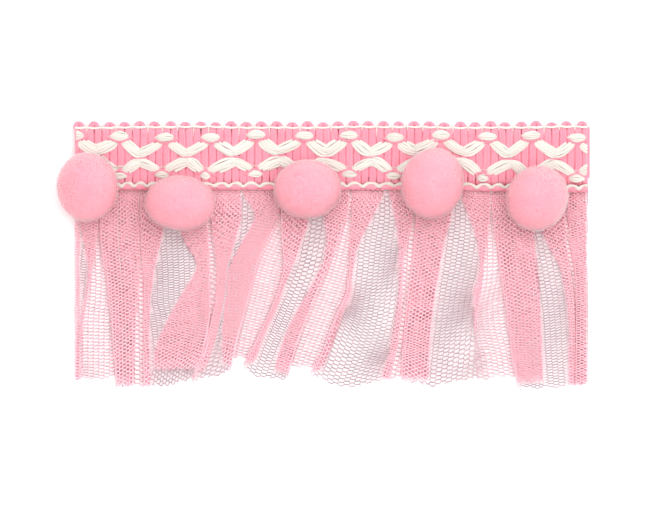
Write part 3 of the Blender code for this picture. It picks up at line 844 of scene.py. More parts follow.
@dataclass
class UpperEdge:
    """The braid's upper edge: pink picots, the cream cord over their feet and the turns between them.

    Sizes in metres.
    """

    random: np.random.Generator
    cord_y: float = 5.02 * MM
    cord_height: float = 2.1 * MM
    cord_radius: float = 0.23 * MM
    cord_tint: float = 0.15
    # The cord's rise between two picots, in y and in z, and how much its thickness varies, over what length
    cord_wave: tuple[float, float] = (0.07 * MM, 0.2 * MM)
    cord_swell: float = 0.12
    cord_swell_length: float = 0.9 * MM
    # Its slower unevenness: how far and over what length
    cord_drifts: tuple[tuple[float, float], ...] = ((0.1 * MM, 6.2 * MM), (0.04 * MM, 2.3 * MM))
    picot_yarn: float = 0.58 * MM
    picot_taper: float = 0.08
    picot_tint: float = 0.5
    picot_half_spread: float = 0.6 * MM
    picot_spreads: tuple[float, float] = (0.92, 1.12)
    picot_talls: tuple[float, float] = (0.6 * MM, 0.95 * MM)
    # How far past half a turn a picot runs on at each foot, in radians, and how square it is
    picot_foot: float = 0.35
    picot_squareness: float = 0.65
    picot_slant: float = -0.2 * MM
    picot_shift: float = 0.1 * MM
    picot_base: float = 1.5 * MM
    picot_sink: float = 0.6 * MM
    loop_shift: float = 0.12 * MM
    # How far down a turn's foot runs: most stay short
    loop_feet: tuple[float, ...] = (0.3 * MM, 0.3 * MM, 1.3 * MM, 2.0 * MM)
    loop_radii: tuple[float, float] = (0.12 * MM, 0.17 * MM)
    loop_tint: float = 0.5
    # The angles of a turn round the edge, in radians, and how high it stands over the cord
    loop_turn: float = 0.8 * math.pi
    loop_end: float = 0.2
    loop_rise: float = 0.5 * MM
    loop_tuck: float = 0.35 * MM
    loop_base: float = 0.9 * MM
    loop_climb: float = 1.3 * MM
    loop_sink: float = 0.2 * MM
    loop_drift: float = 0.1 * MM

    def picots(self) -> YarnWork:
        """The loops along the edge: each joins two ribs and leans a little to the right."""
        work = YarnWork("braid_picots", sides=10, flatten=0.85)
        angle = np.linspace(-self.picot_foot, math.pi + self.picot_foot, 15)
        rise = np.maximum(np.sin(angle), 0.0)
        aside = np.sign(np.cos(angle)) * np.abs(np.cos(angle)) ** self.picot_squareness
        z = self.picot_base - self.picot_sink * rise
        for crest in rib_places()[:-1:2] + RIB_PITCH / 2:
            tall = self.random.uniform(*self.picot_talls)
            spread = self.picot_half_spread * self.random.uniform(*self.picot_spreads)
            slant = self.picot_slant * np.cos(angle) * self.random.uniform(0.0, 1.0)
            middle = LEFT_END + crest + self.random.uniform(-self.picot_shift, self.picot_shift)
            x = middle + spread * aside
            y = self.cord_y - self.picot_shift + tall * np.sin(angle) + slant
            radius = self.picot_yarn * (1.0 - self.picot_taper * rise)
            work.lay(np.stack([x, y, z], 1), radius, self.picot_tint)
        return work

    def cord(self) -> YarnWork:
        """The cream cord that runs over the picots' feet and rises between them."""
        work = YarnWork("braid_edge_cord", sides=8)
        x = np.arange(LEFT_END, -LEFT_END, 0.25 * MM)
        phase = math.tau * (x - LEFT_END - FIRST_RIB_X - RIB_PITCH / 2) / (2 * RIB_PITCH)
        slow = sum(reach * np.sin(x / length) for reach, length in self.cord_drifts)
        across, high = self.cord_wave
        y = self.cord_y - across * np.cos(phase) + slow
        z = self.cord_height + high * np.cos(phase)
        radius = self.cord_radius * (1.0 + self.cord_swell * np.sin(x / self.cord_swell_length))
        work.lay(np.stack([x, y, z], 1), radius, self.cord_tint)
        return work

    def turns(self) -> YarnWork:
        """The cream turns round the edge between the picots. Some run down between two ribs."""
        work = YarnWork("braid_edge_turns", sides=6)
        t = np.linspace(0.0, 1.0, 14)
        halfway = 0.5
        angle = np.minimum(t / halfway, 1.0) * self.loop_turn
        falling = smooth_step(t, halfway, 1.0)
        z = self.loop_base + self.loop_climb * smooth_step(t, 0.0, halfway) - self.loop_sink * falling
        for gap in rib_places()[2:-1:2] - RIB_PITCH / 2:
            x = LEFT_END + gap + self.random.uniform(-self.loop_shift, self.loop_shift)
            foot = self.random.choice(self.loop_feet)
            y = self.cord_y + self.loop_rise * np.sin(self.loop_turn - angle + self.loop_end)
            y -= foot * falling + self.loop_tuck * smooth_step(t, 0.4, 0.7)
            drift = self.random.uniform(-self.loop_drift, self.loop_drift) * t
            radius = self.random.uniform(*self.loop_radii)
            work.lay(np.stack([x + drift, y, z], 1), radius, self.loop_tint)
        return work


@dataclass
class LowerEdge:
    """The braid's lower edge: a pink rim, and a cream and a pink strand twisted into waves over it.

    Sizes in metres.
    """

    middle_y: float = -6.45 * MM
    first_wave_x: float = 1.6 * MM
    # The right half was woven a little lower
    sag: float = 0.5 * MM
    sag_between: tuple[float, float] = (12.0 * MM, 50.0 * MM)
    # How far the waves come early or late, in radians, over what length, and where that starts
    wanders: tuple[tuple[float, float, float], ...] = ((1.3, 7.3 * MM, 0.0), (0.9, 2.9 * MM, 1.0))
    wave_reach: float = 0.24 * MM
    wave_swell: float = 0.4
    wave_swell_length: float = 3.7 * MM
    # How much a wave leans to one side
    wave_lean: float = 0.5
    cream_radius: float = 0.35 * MM
    cream_swell: float = 0.2
    cream_swell_rate: float = 1.3
    cream_height: float = 2.5 * MM
    cream_lift: float = 0.1 * MM
    cream_tint: float = 0.6
    # The pink strand lies below the cream one and swells where that rises
    strand_drop: float = 0.42 * MM
    strand_height: float = 2.25 * MM
    strand_radius: float = 0.36 * MM
    strand_swell: float = 0.6
    strand_tint: float = 0.1
    rim_drop: float = 0.72 * MM
    rim_height: float = 1.75 * MM
    rim_radius: float = 0.26 * MM
    rim_tint: float = 0.3

    def cords(self) -> tuple[YarnWork, YarnWork]:
        """The cords along the edge.

        Returns:
            The pink strand with the pink rim, and the cream strand in waves.
        """
        x = np.arange(LEFT_END, -LEFT_END, 0.22 * MM)
        wander = sum(reach * np.sin(x / length + start) for reach, length, start in self.wanders)
        phase = math.tau * (x - LEFT_END - self.first_wave_x) / (2 * RIB_PITCH) + wander
        reach = self.wave_reach * (1.0 + self.wave_swell * np.sin(x / self.wave_swell_length))
        wave = reach * np.cos(phase - self.wave_lean * np.sin(phase))
        y = self.middle_y - self.sag * smooth_step(x, *self.sag_between)
        cream = YarnWork("braid_edge_cream", sides=8)
        radius = self.cream_radius * (1.0 + self.cream_swell * np.sin(phase * self.cream_swell_rate))
        z = self.cream_height + self.cream_lift * np.sin(phase)
        cream.lay(np.stack([x, y + wave, z], 1), radius, self.cream_tint)
        pink = YarnWork("braid_edge_pink", sides=9)
        z = np.full(len(x), self.strand_height)
        radius = self.strand_radius + self.strand_swell * wave
        pink.lay(np.stack([x, y - self.strand_drop, z], 1), radius, self.strand_tint)
        z = np.full(len(x), self.rim_height)
        pink.lay(np.stack([x, y - self.rim_drop, z], 1), self.rim_radius, self.rim_tint)
        return pink, cream


@dataclass
class Ties:
    """The three pink threads that hold the cream figures down. Sizes in mm, y below the picot line."""

    radius: float = 0.16
    tint: float = 0.5
    height: float = 2.12
    climb: float = 0.6
    # How far to each side of a figure the upper, the middle and the lower thread climb over it
    climb_reaches: tuple[float, float, float] = (2.6, 1.9, 2.3)
    below_oval: float = 1.06
    oval_side: tuple[float, float] = (2.0, 0.5)
    cross_side: tuple[float, float] = (2.4, 0.5)
    # How far to each side the middle thread stays level, and how much lower it is on the left
    middle_side: float = 1.4
    middle_drop: float = 0.12
    above_foot: float = 0.9
    foot_side: float = 0.15
    arch_side: float = 2.2

    def build(self) -> YarnWork:
        """The threads: over, between and under the arms."""
        work = YarnWork("braid_ties", sides=6)
        x = np.arange(LEFT_END, -LEFT_END, 0.35 * MM)
        place = (x - LEFT_END) / MM
        upper, middle, lower = [], [], []
        for figure in REPEATS:
            upper.append((figure.oval_x, figure.oval_y + self.below_oval))
            upper.append((figure.oval_x + self.oval_side[0], figure.oval_y + self.oval_side[1]))
            upper.append((figure.cross_x + self.cross_side[0], figure.oval_y + self.cross_side[1]))
            between_arms = (figure.cross_y + figure.arch_y) / 2
            middle.append((figure.cross_x - self.middle_side, between_arms + self.middle_drop))
            middle.append((figure.cross_x + self.middle_side, between_arms))
            lower.append((figure.foot_x, figure.foot_y - self.above_foot))
            lower.append((figure.foot_x + figure.foot_half, figure.foot_y - self.foot_side))
            lower.append((figure.arch_x + self.arch_side, figure.foot_y - self.foot_side))
        crests = (
            [figure.oval_x for figure in REPEATS],
            [(figure.cross_x + figure.arch_x) / 2 for figure in REPEATS],
            [figure.foot_x for figure in REPEATS],
        )
        for route, centres, reach in zip((upper, middle, lower), crests, self.climb_reaches):
            keys, values = zip(*route)
            y = PICOT_LINE_Y - along_table(keys, values, place) * MM
            near = sum(np.exp(-(((place - centre) / reach) ** 4)) for centre in centres)
            z = (self.height + self.climb * near) * MM
            work.lay(np.stack([x, y, z], 1), self.radius * MM, self.tint)
        return work


class BundleShape(Enum):
    """How wide and how high a cream bundle is along its length, as shares: place, width and height."""

    ARM = ((0.0, 0.6, 0.2), (0.06, 0.78, 0.5), (0.3, 1.0, 0.95), (0.6, 1.0, 1.0), (0.85, 0.78, 0.95),
           (1.0, 0.35, 0.7))
    OVAL = ((0.0, 0.16, 0.1), (0.12, 0.5, 0.5), (0.3, 0.86, 0.9), (0.5, 1.0, 1.0), (0.7, 0.86, 0.9),
            (0.88, 0.5, 0.5), (1.0, 0.16, 0.1))


@dataclass
class CreamFigures:
    """The cream figures: ovals, crossing arms and arches, each a bundle of plies. Sizes in metres."""

    random: np.random.Generator
    arm_half_width: float = 1.08 * MM
    arch_half_width: float = 1.02 * MM
    width_spread: tuple[float, float] = (0.87, 1.15)
    oval_half_length: float = 2.1 * MM
    oval_half_width: float = 0.86 * MM
    oval_bow: float = -0.12 * MM
    foot_half_width: float = 0.72 * MM
    foot_bow: float = 0.05 * MM
    # How far an arm's outer end lies from the middle of the oval beside it, across and up or down
    arm_from_oval: tuple[float, float] = (1.15 * MM, -1.05 * MM)
    arch_from_foot: tuple[float, float] = (1.05 * MM, 0.8 * MM)
    # How far two arms lap where they meet, how far before it they bend level, and how far the arms'
    # middle lines meet above the crossing and the arches' below it
    arm_lap: float = 0.45 * MM
    arm_bend: float = 1.25 * MM
    cross_lift: float = 0.7 * MM
    arch_drop: float = 0.68 * MM
    # How far the outer ends of both go on under the ties, and how far up or down they are cut level
    end_tuck: float = 0.5 * MM
    end_reach: float = 0.25 * MM
    base: float = 2.2 * MM
    rise: float = 0.75 * MM
    plies: int = 5
    # Each ply's half width, as a multiple of its share of the bundle, and how deep it lies, as a share
    ply_widths: tuple[float, float] = (1.3, 1.5)
    ply_depth: float = 0.7
    ply_lift: float = 0.05 * MM
    # How much lower a ply at the bundle's edge would lie, as a share of the rise
    crown: float = 0.4
    ply_wander: float = 0.12
    wander_rate: float = 4.0
    wander_starts: tuple[float, float] = (0.0, 6.0)
    ply_tints: tuple[float, float] = (0.0, 0.5)
    # The plies end this far inside the trim's cut ends. What is left of one with fewer points is dropped
    cut_inset: float = 0.05 * MM
    fewest_points: int = 3
    # The thin thread that crosses the ribs above each oval at the foot
    thread_half_length: float = 0.9 * MM
    thread_lift: float = 1.5 * MM
    thread_wave: float = 0.05 * MM
    thread_wave_length: float = 0.4 * MM
    thread_height: float = 2.42 * MM
    thread_radius: float = 0.12 * MM

    def lay_bundle(
        self,
        work: YarnWork,
        line: np.ndarray,
        shape: BundleShape,
        half_width: float,
        between: tuple[float, float] = (-math.inf, math.inf),
    ) -> None:
        """Lays one cream bundle as plies that run side by side.

        Args:
            work: the yarns that the plies are added to.
            line: its middle line, one row of x and y for each point, in the model's frame.
            shape: how it widens and rises along its length.
            half_width: its half width where it is widest.
            between: the lowest and the highest y that its plies reach.
        """
        t = np.linspace(0.0, 1.0, len(line))
        places, widths, heights = zip(*shape.value)
        half = along_table(places, widths, t) * half_width
        rise = along_table(places, heights, t) * self.rise
        tangent = np.gradient(line, axis=0)
        tangent /= np.linalg.norm(tangent, axis=1)[:, None]
        for ply in range(self.plies):
            side = (ply - (self.plies - 1) / 2) / (self.plies / 2)
            waves = np.sin(self.wander_rate * t + self.random.uniform(*self.wander_starts))
            off = (side + self.ply_wander * waves * np.sin(math.pi * t)) * half
            radius = half / self.plies * self.random.uniform(*self.ply_widths)
            x = line[:, 0] - tangent[:, 1] * off
            y = line[:, 1] + tangent[:, 0] * off
            lift = self.random.uniform(-self.ply_lift, self.ply_lift)
            z = self.base + rise * (1.0 - self.crown * side**2) - radius * self.ply_depth + lift
            inside = (x > LEFT_END + self.cut_inset) & (x < -LEFT_END - self.cut_inset)
            inside &= (y > between[0]) & (y < between[1])
            if inside.sum() >= self.fewest_points:
                points = np.stack([x, y, z], 1)[inside]
                work.lay(points, radius[inside], self.random.uniform(*self.ply_tints))

    def lay_oval(
        self, work: YarnWork, middle: np.ndarray, half_length: float, half_width: float, bow: float
    ) -> None:
        """Lays an oval.

        Args:
            work: the yarns that its plies are added to.
            middle: the x and y of its middle.
            half_length: its half length.
            half_width: its half width.
            bow: how far its middle lies below its ends.
        """
        aside = np.linspace(-1.0, 1.0, 17)
        arc = middle[1] - bow * (1.0 - aside**2)
        line = np.stack([middle[0] + half_length * aside, arc], 1)
        self.lay_bundle(work, line, BundleShape.OVAL, half_width)

    def arm_line(self, outer: np.ndarray, inner: np.ndarray) -> np.ndarray:
        """The middle line of an arm that goes on straight under the tie at its outer end and ends level.

        Args:
            outer: the x and y at which it goes under the tie.
            inner: the inner end's x and y.

        Returns:
            Its points, one row of x and y for each.
        """
        start = outer + (outer - inner) / np.linalg.norm(outer - inner) * self.end_tuck
        corner = inner + np.array((math.copysign(self.arm_bend, start[0] - inner[0]), 0.0))
        t = np.linspace(0.0, 1.0, 18)[:, None]
        return (1 - t) ** 2 * start + 2 * t * (1 - t) * corner + t**2 * inner

    def bundles(self) -> YarnWork:
        """Every bundle: ovals at the top, arms that meet in a V, arches and ovals at the foot."""
        work = YarnWork("braid_bundles", sides=7, flatten=1.15)
        for figure, following in zip(REPEATS, (*REPEATS[1:], None)):
            top = figure_place(figure.oval_x, figure.oval_y)
            foot = figure_place(figure.foot_x, figure.foot_y)
            self.lay_oval(work, top, self.oval_half_length, self.oval_half_width, self.oval_bow)
            self.lay_oval(work, foot, figure.foot_half * MM, self.foot_half_width, self.foot_bow)
            cross = figure_place(figure.cross_x, figure.cross_y) + (0.0, self.cross_lift)
            arch = figure_place(figure.arch_x, figure.arch_y) - (0.0, self.arch_drop)
            for beside, way in ((figure, 1.0), (following, -1.0)):
                if beside is None:
                    continue
                lap = np.array((way * self.arm_lap, 0.0))
                mirror = np.array((way, 1.0))
                arm_end = figure_place(beside.oval_x, beside.oval_y) + mirror * self.arm_from_oval
                arch_end = figure_place(beside.foot_x, beside.foot_y) + mirror * self.arch_from_foot
                for outer, inner, half_width, between in (
                    (arm_end, cross, self.arm_half_width, (-math.inf, arm_end[1] + self.end_reach)),
                    (arch_end, arch, self.arch_half_width, (arch_end[1] - self.end_reach, math.inf)),
                ):
                    line = self.arm_line(outer, inner + lap)
                    half_width *= self.random.uniform(*self.width_spread)
                    self.lay_bundle(work, line, BundleShape.ARM, half_width, between)
        return work

    def foot_threads(self) -> YarnWork:
        """The thin threads that cross the ribs above the ovals at the foot."""
        work = YarnWork("braid_foot_threads", sides=6)
        aside = np.linspace(-self.thread_half_length, self.thread_half_length, 9)
        wave = self.thread_wave * np.sin(aside / self.thread_wave_length)
        z = np.full(len(aside), self.thread_height)
        for figure in REPEATS[1:]:
            x, y = figure_place(figure.foot_x, figure.foot_y)
            work.lay(np.stack([x + aside, y + self.thread_lift + wave, z], 1), self.thread_radius, 1.0)
        return work


# The route of the stray thread beside the first pompom, as x, y and z in mm
STRAY_ROUTE = (
    (-45.9, -0.6, 2.9),
    (-45.2, -1.2, 2.95),
    (-44.5, -1.9, 2.95),
    (-43.9, -2.6, 2.85),
    (-43.2, -2.85, 2.7),
    (-42.2, -2.75, 2.65),
    (-41.6, -2.8, 2.6),
)
STRAY_RADIUS = 0.14 * MM
STRAY_TINT = 0.7


def stray_thread() -> YarnWork:
    """The thin cream thread beside the first pompom's upper right."""
    work = YarnWork("braid_stray_thread", sides=6)
    keys = np.linspace(0.0, 1.0, len(STRAY_ROUTE))
    t = np.linspace(0.0, 1.0, 24)
    points = np.stack([along_table(keys, values, t) for values in zip(*STRAY_ROUTE)], 1)
    work.lay(points * MM, STRAY_RADIUS, STRAY_TINT)
    return work


@dataclass
class GimpBraid:
    """The heading braid. Its parts draw from the same random numbers, one after another."""

    seed: int = 11

    def build(
        self, sweep: GeometryTree, pink: bpy.types.Material, cream: bpy.types.Material
    ) -> list[bpy.types.Object]:
        """Makes the braid.

        Args:
            sweep: the tree that turns lines into yarns.
            pink: the material of the ground, the picots and the ties.
            cream: the material of the figures and the cords.

        Returns:
            Its pink and its cream object.
        """
        random = np.random.default_rng(self.seed)
        ground, upper, figures = RibGround(random), UpperEdge(random), CreamFigures(random)
        edge_pink, edge_cream = LowerEdge().cords()
        pink_works = [
            ground.warp(),
            ground.back_ribs(),
            ground.front_ribs(),
            upper.picots(),
            Ties().build(),
            edge_pink,
        ]
        cream_works = [
            figures.bundles(),
            upper.cord(),
            upper.turns(),
            edge_cream,
            figures.foot_threads(),
            stray_thread(),
        ]
        pieces = []
        for name, slot, works, material in (
            ("braid_pink_yarns", Slot.BRAID, pink_works, pink),
            ("braid_cream_yarns", Slot.CREAM, cream_works, cream),
        ):
            piece = join_pieces(name, [work.build(sweep, material) for work in works])
            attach(piece, "root")
            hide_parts("braid")
            pieces.append(piece)
        return pieces


# --- The ruffle -------------------------------------------------------------------------------------


# Where down the cloth the pleats' tilts and crimps are given, as shares of its length
ROW_SHARES = (0.1, 0.3, 0.5, 0.75, 0.92)
LEVEL = (0.0,) * len(ROW_SHARES)
EVEN = (1.0,) * len(ROW_SHARES)


class Hem(NamedTuple):
    """How far below the braid a front panel's hem lies, in millimetres: left, middle and right."""

    left: float
    middle: float
    right: float


@dataclass(frozen=True)
class Pleat:
    """One box pleat. The folds are millimetres from the left cut end, one at each of EDGE_DEPTHS.

    At the trim's right cut end there is no fold, and its tables are empty.

    Args:
        outer_left: the fold on the left of its front.
        inner_left: the hidden fold behind that.
        inner_right: the hidden fold behind the right one.
        outer_right: the fold on the right of its front.
        hem: its front's hem.
        hem_behind: the hem of the panel behind, on its right.
        loft: how far its front stands up, in millimetres.
        tilt: how steeply the front's rows of holes climb to the right, at each of ROW_SHARES.
        tilt_behind: the same for the panel behind.
        crimp: how many times closer than usual the front's rows lie, at each of ROW_SHARES.
        crimp_behind: the same for the panel behind.
    """

    outer_left: tuple[float, ...]
    inner_left: tuple[float, ...]
    inner_right: tuple[float, ...]
    outer_right: tuple[float, ...]
    hem: Hem
    hem_behind: float
    loft: float
    tilt: tuple[float, ...] = LEVEL
    tilt_behind: tuple[float, ...] = LEVEL
    crimp: tuple[float, ...] = EVEN
    crimp_behind: tuple[float, ...] = EVEN


EDGE_DEPTHS = (0.0, 5.0, 10.0, 15.0, 20.0, 26.0, 32.0, 38.0)
PLEATS = (
    Pleat(
        outer_left=(0.0, 0.0, 0.0, 0.0, 0.0, 0.0, 0.0, 0.0),
        inner_left=(0.5, 0.6, 0.9, 0.9, 0.9, 0.9, 0.9, 0.9),
        inner_right=(0.6, 0.7, 1.9, 2.6, 2.3, 1.0, 0.9, 0.9),
        outer_right=(4.6, 4.6, 4.3, 3.6, 2.6, 1.5, 1.1, 1.0),
        hem=Hem(37.8, 37.8, 37.8),
        hem_behind=37.2,
        loft=0.0,
        tilt_behind=(0.0, 0.0, 0.1, 0.25, 0.2),
        crimp=(1.1, 1.6, 1.7, 1.6, 1.4),
        crimp_behind=(1.1, 1.2, 1.25, 1.3, 1.3),
    ),
    Pleat(
        outer_left=(5.0, 5.0, 5.1, 6.0, 6.7, 7.3, 7.8, 8.2),
        inner_left=(8.5, 8.5, 8.6, 9.0, 9.4, 9.7, 9.7, 9.7),
        inner_right=(8.9, 8.9, 9.0, 9.4, 9.8, 10.0, 10.1, 10.1),
        outer_right=(12.7, 12.7, 12.9, 12.9, 12.7, 12.3, 11.9, 11.6),
        hem=Hem(39.2, 39.0, 38.8),
        hem_behind=38.6,
        loft=0.18,
        tilt=(0.1, 0.15, 0.15, 0.12, 0.1),
        crimp=(1.1, 1.3, 1.35, 1.25, 1.2),
    ),
    Pleat(
        outer_left=(13.1, 13.1, 13.3, 13.6, 13.7, 13.7, 13.7, 13.8),
        inner_left=(19.0, 18.1, 17.0, 15.9, 15.2, 14.8, 14.8, 15.0),
        inner_right=(19.4, 20.2, 22.0, 24.4, 21.7, 18.4, 16.1, 15.6),
        outer_right=(26.6, 26.6, 26.6, 26.9, 27.0, 26.9, 25.6, 23.2),
        hem=Hem(38.8, 38.6, 37.4),
        hem_behind=33.8,
        loft=0.36,
        tilt=(0.0, 0.3, 0.05, 0.0, 0.0),
        crimp=(1.0, 1.5, 1.8, 1.7, 1.0),
    ),
    Pleat(
        outer_left=(27.2, 27.3, 28.1, 28.4, 28.2, 27.1, 25.75, 23.35),
        inner_left=(33.0, 33.2, 31.8, 30.4, 29.9, 28.8, 27.2, 25.0),
        inner_right=(33.6, 36.0, 33.5, 30.9, 30.4, 29.7, 29.6, 29.8),
        outer_right=(40.8, 40.8, 38.9, 36.7, 35.2, 33.5, 31.9, 30.7),
        hem=Hem(37.9, 36.9, 36.0),
        hem_behind=33.2,
        loft=0.18,
        tilt=(0.0, 0.35, 0.3, 0.1, 0.0),
        crimp=(1.0, 1.3, 1.4, 1.3, 1.0),
        crimp_behind=(1.0, 1.2, 1.35, 1.4, 1.3),
    ),
    Pleat(
        outer_left=(41.3, 41.3, 41.6, 41.7, 40.6, 38.2, 35.0, 31.9),
        inner_left=(47.2, 46.8, 45.2, 43.3, 41.3, 38.9, 36.6, 34.5),
        inner_right=(49.2, 49.9, 50.4, 49.3, 46.6, 43.3, 41.0, 39.4),
        outer_right=(54.8, 54.6, 53.1, 50.9, 48.3, 45.8, 43.9, 42.4),
        hem=Hem(35.2, 37.2, 37.4),
        hem_behind=34.8,
        loft=0.48,
        tilt=(0.0, 0.3, 0.0, -0.1, 0.0),
        crimp=(1.0, 1.0, 1.1, 1.8, 1.4),
        crimp_behind=(1.0, 1.2, 1.35, 1.4, 1.3),
    ),
    Pleat(
        outer_left=(55.5, 55.4, 55.0, 54.8, 53.9, 52.3, 49.5, 45.9),
        inner_left=(61.8, 59.4, 56.9, 55.6, 54.9, 53.2, 50.8, 48.3),
        inner_right=(62.8, 64.1, 64.7, 64.9, 64.8, 63.9, 62.8, 61.2),
        outer_right=(67.6, 67.5, 66.5, 65.8, 65.5, 65.0, 64.0, 62.8),
        hem=Hem(36.4, 38.9, 37.6),
        hem_behind=37.0,
        loft=0.4,
        tilt=(0.0, 0.0, 0.35, -0.3, 0.0),
        crimp=(1.0, 1.4, 1.4, 1.5, 1.3),
    ),
    Pleat(
        outer_left=(68.3, 68.3, 67.9, 67.3, 66.6, 65.9, 65.5, 65.3),
        inner_left=(75.8, 75.1, 73.9, 72.9, 72.0, 71.2, 70.8, 70.6),
        inner_right=(76.8, 79.0, 80.7, 80.8, 79.7, 80.2, 82.0, 83.6),
        outer_right=(83.0, 82.9, 82.3, 81.6, 80.6, 79.8, 78.8, 77.8),
        hem=Hem(37.5, 38.8, 37.6),
        hem_behind=37.0,
        loft=0.2,
        tilt=(0.0, -0.1, 0.0, 0.3, 0.0),
        tilt_behind=(0.0, 0.2, 0.6, 0.2, 0.0),
        crimp=(1.2, 1.3, 1.3, 1.4, 1.1),
        crimp_behind=(1.0, 1.4, 1.3, 1.2, 1.2),
    ),
    Pleat(
        outer_left=(83.5, 83.6, 84.4, 85.1, 85.9, 86.8, 87.4, 88.4),
        inner_left=(91.9, 91.8, 91.8, 92.1, 92.7, 93.1, 93.4, 93.6),
        inner_right=(92.4, 92.6, 94.4, 96.9, 98.2, 98.8, 98.8, 98.8),
        outer_right=(98.0, 98.0, 98.2, 98.8, 99.5, 99.85, 99.9, 99.9),
        hem=Hem(39.1, 39.2, 38.6),
        hem_behind=38.4,
        loft=0.35,
        tilt=(0.05, 0.1, 0.15, 0.3, 0.1),
        crimp=(1.0, 1.15, 1.3, 1.7, 1.7),
    ),
    Pleat(
        outer_left=(98.6, 98.6, 99.1, 99.7, 100.1, 100.05, 100.0, 100.0),
        inner_left=(102.3, 102.3, 102.3, 102.3, 102.3, 102.3, 102.3, 102.3),
        inner_right=(),
        outer_right=(),
        hem=Hem(38.4, 38.4, 38.4),
        hem_behind=38.4,
        loft=0.0,
        crimp=(1.4, 1.9, 1.9, 1.8, 1.6),
    ),
)


class Part(Enum):
    """The parts of a pleat's section, in the order in which the cloth runs."""

    LEFT_TURN = "left"
    FRONT = "front"
    RIGHT_TURN = "right"
    BEHIND = "behind"


class Knot(NamedTuple):
    """A point of the cloth's section: its pleat, its part of it and its step there."""

    pleat: int
    part: Part
    step: int


class PleatEdges(NamedTuple):
    """A pleat's folds at each depth, in metres from the left cut end. The last has none on its right."""

    outer_left: np.ndarray
    inner_left: np.ndarray
    inner_right: Optional[np.ndarray]
    outer_right: Optional[np.ndarray]


@dataclass
class Section:
    """The cloth's section, as arrays with a line for each knot and a column for each row."""

    knots: list[Knot]
    x: np.ndarray
    depth: np.ndarray
    z: np.ndarray
    along: np.ndarray


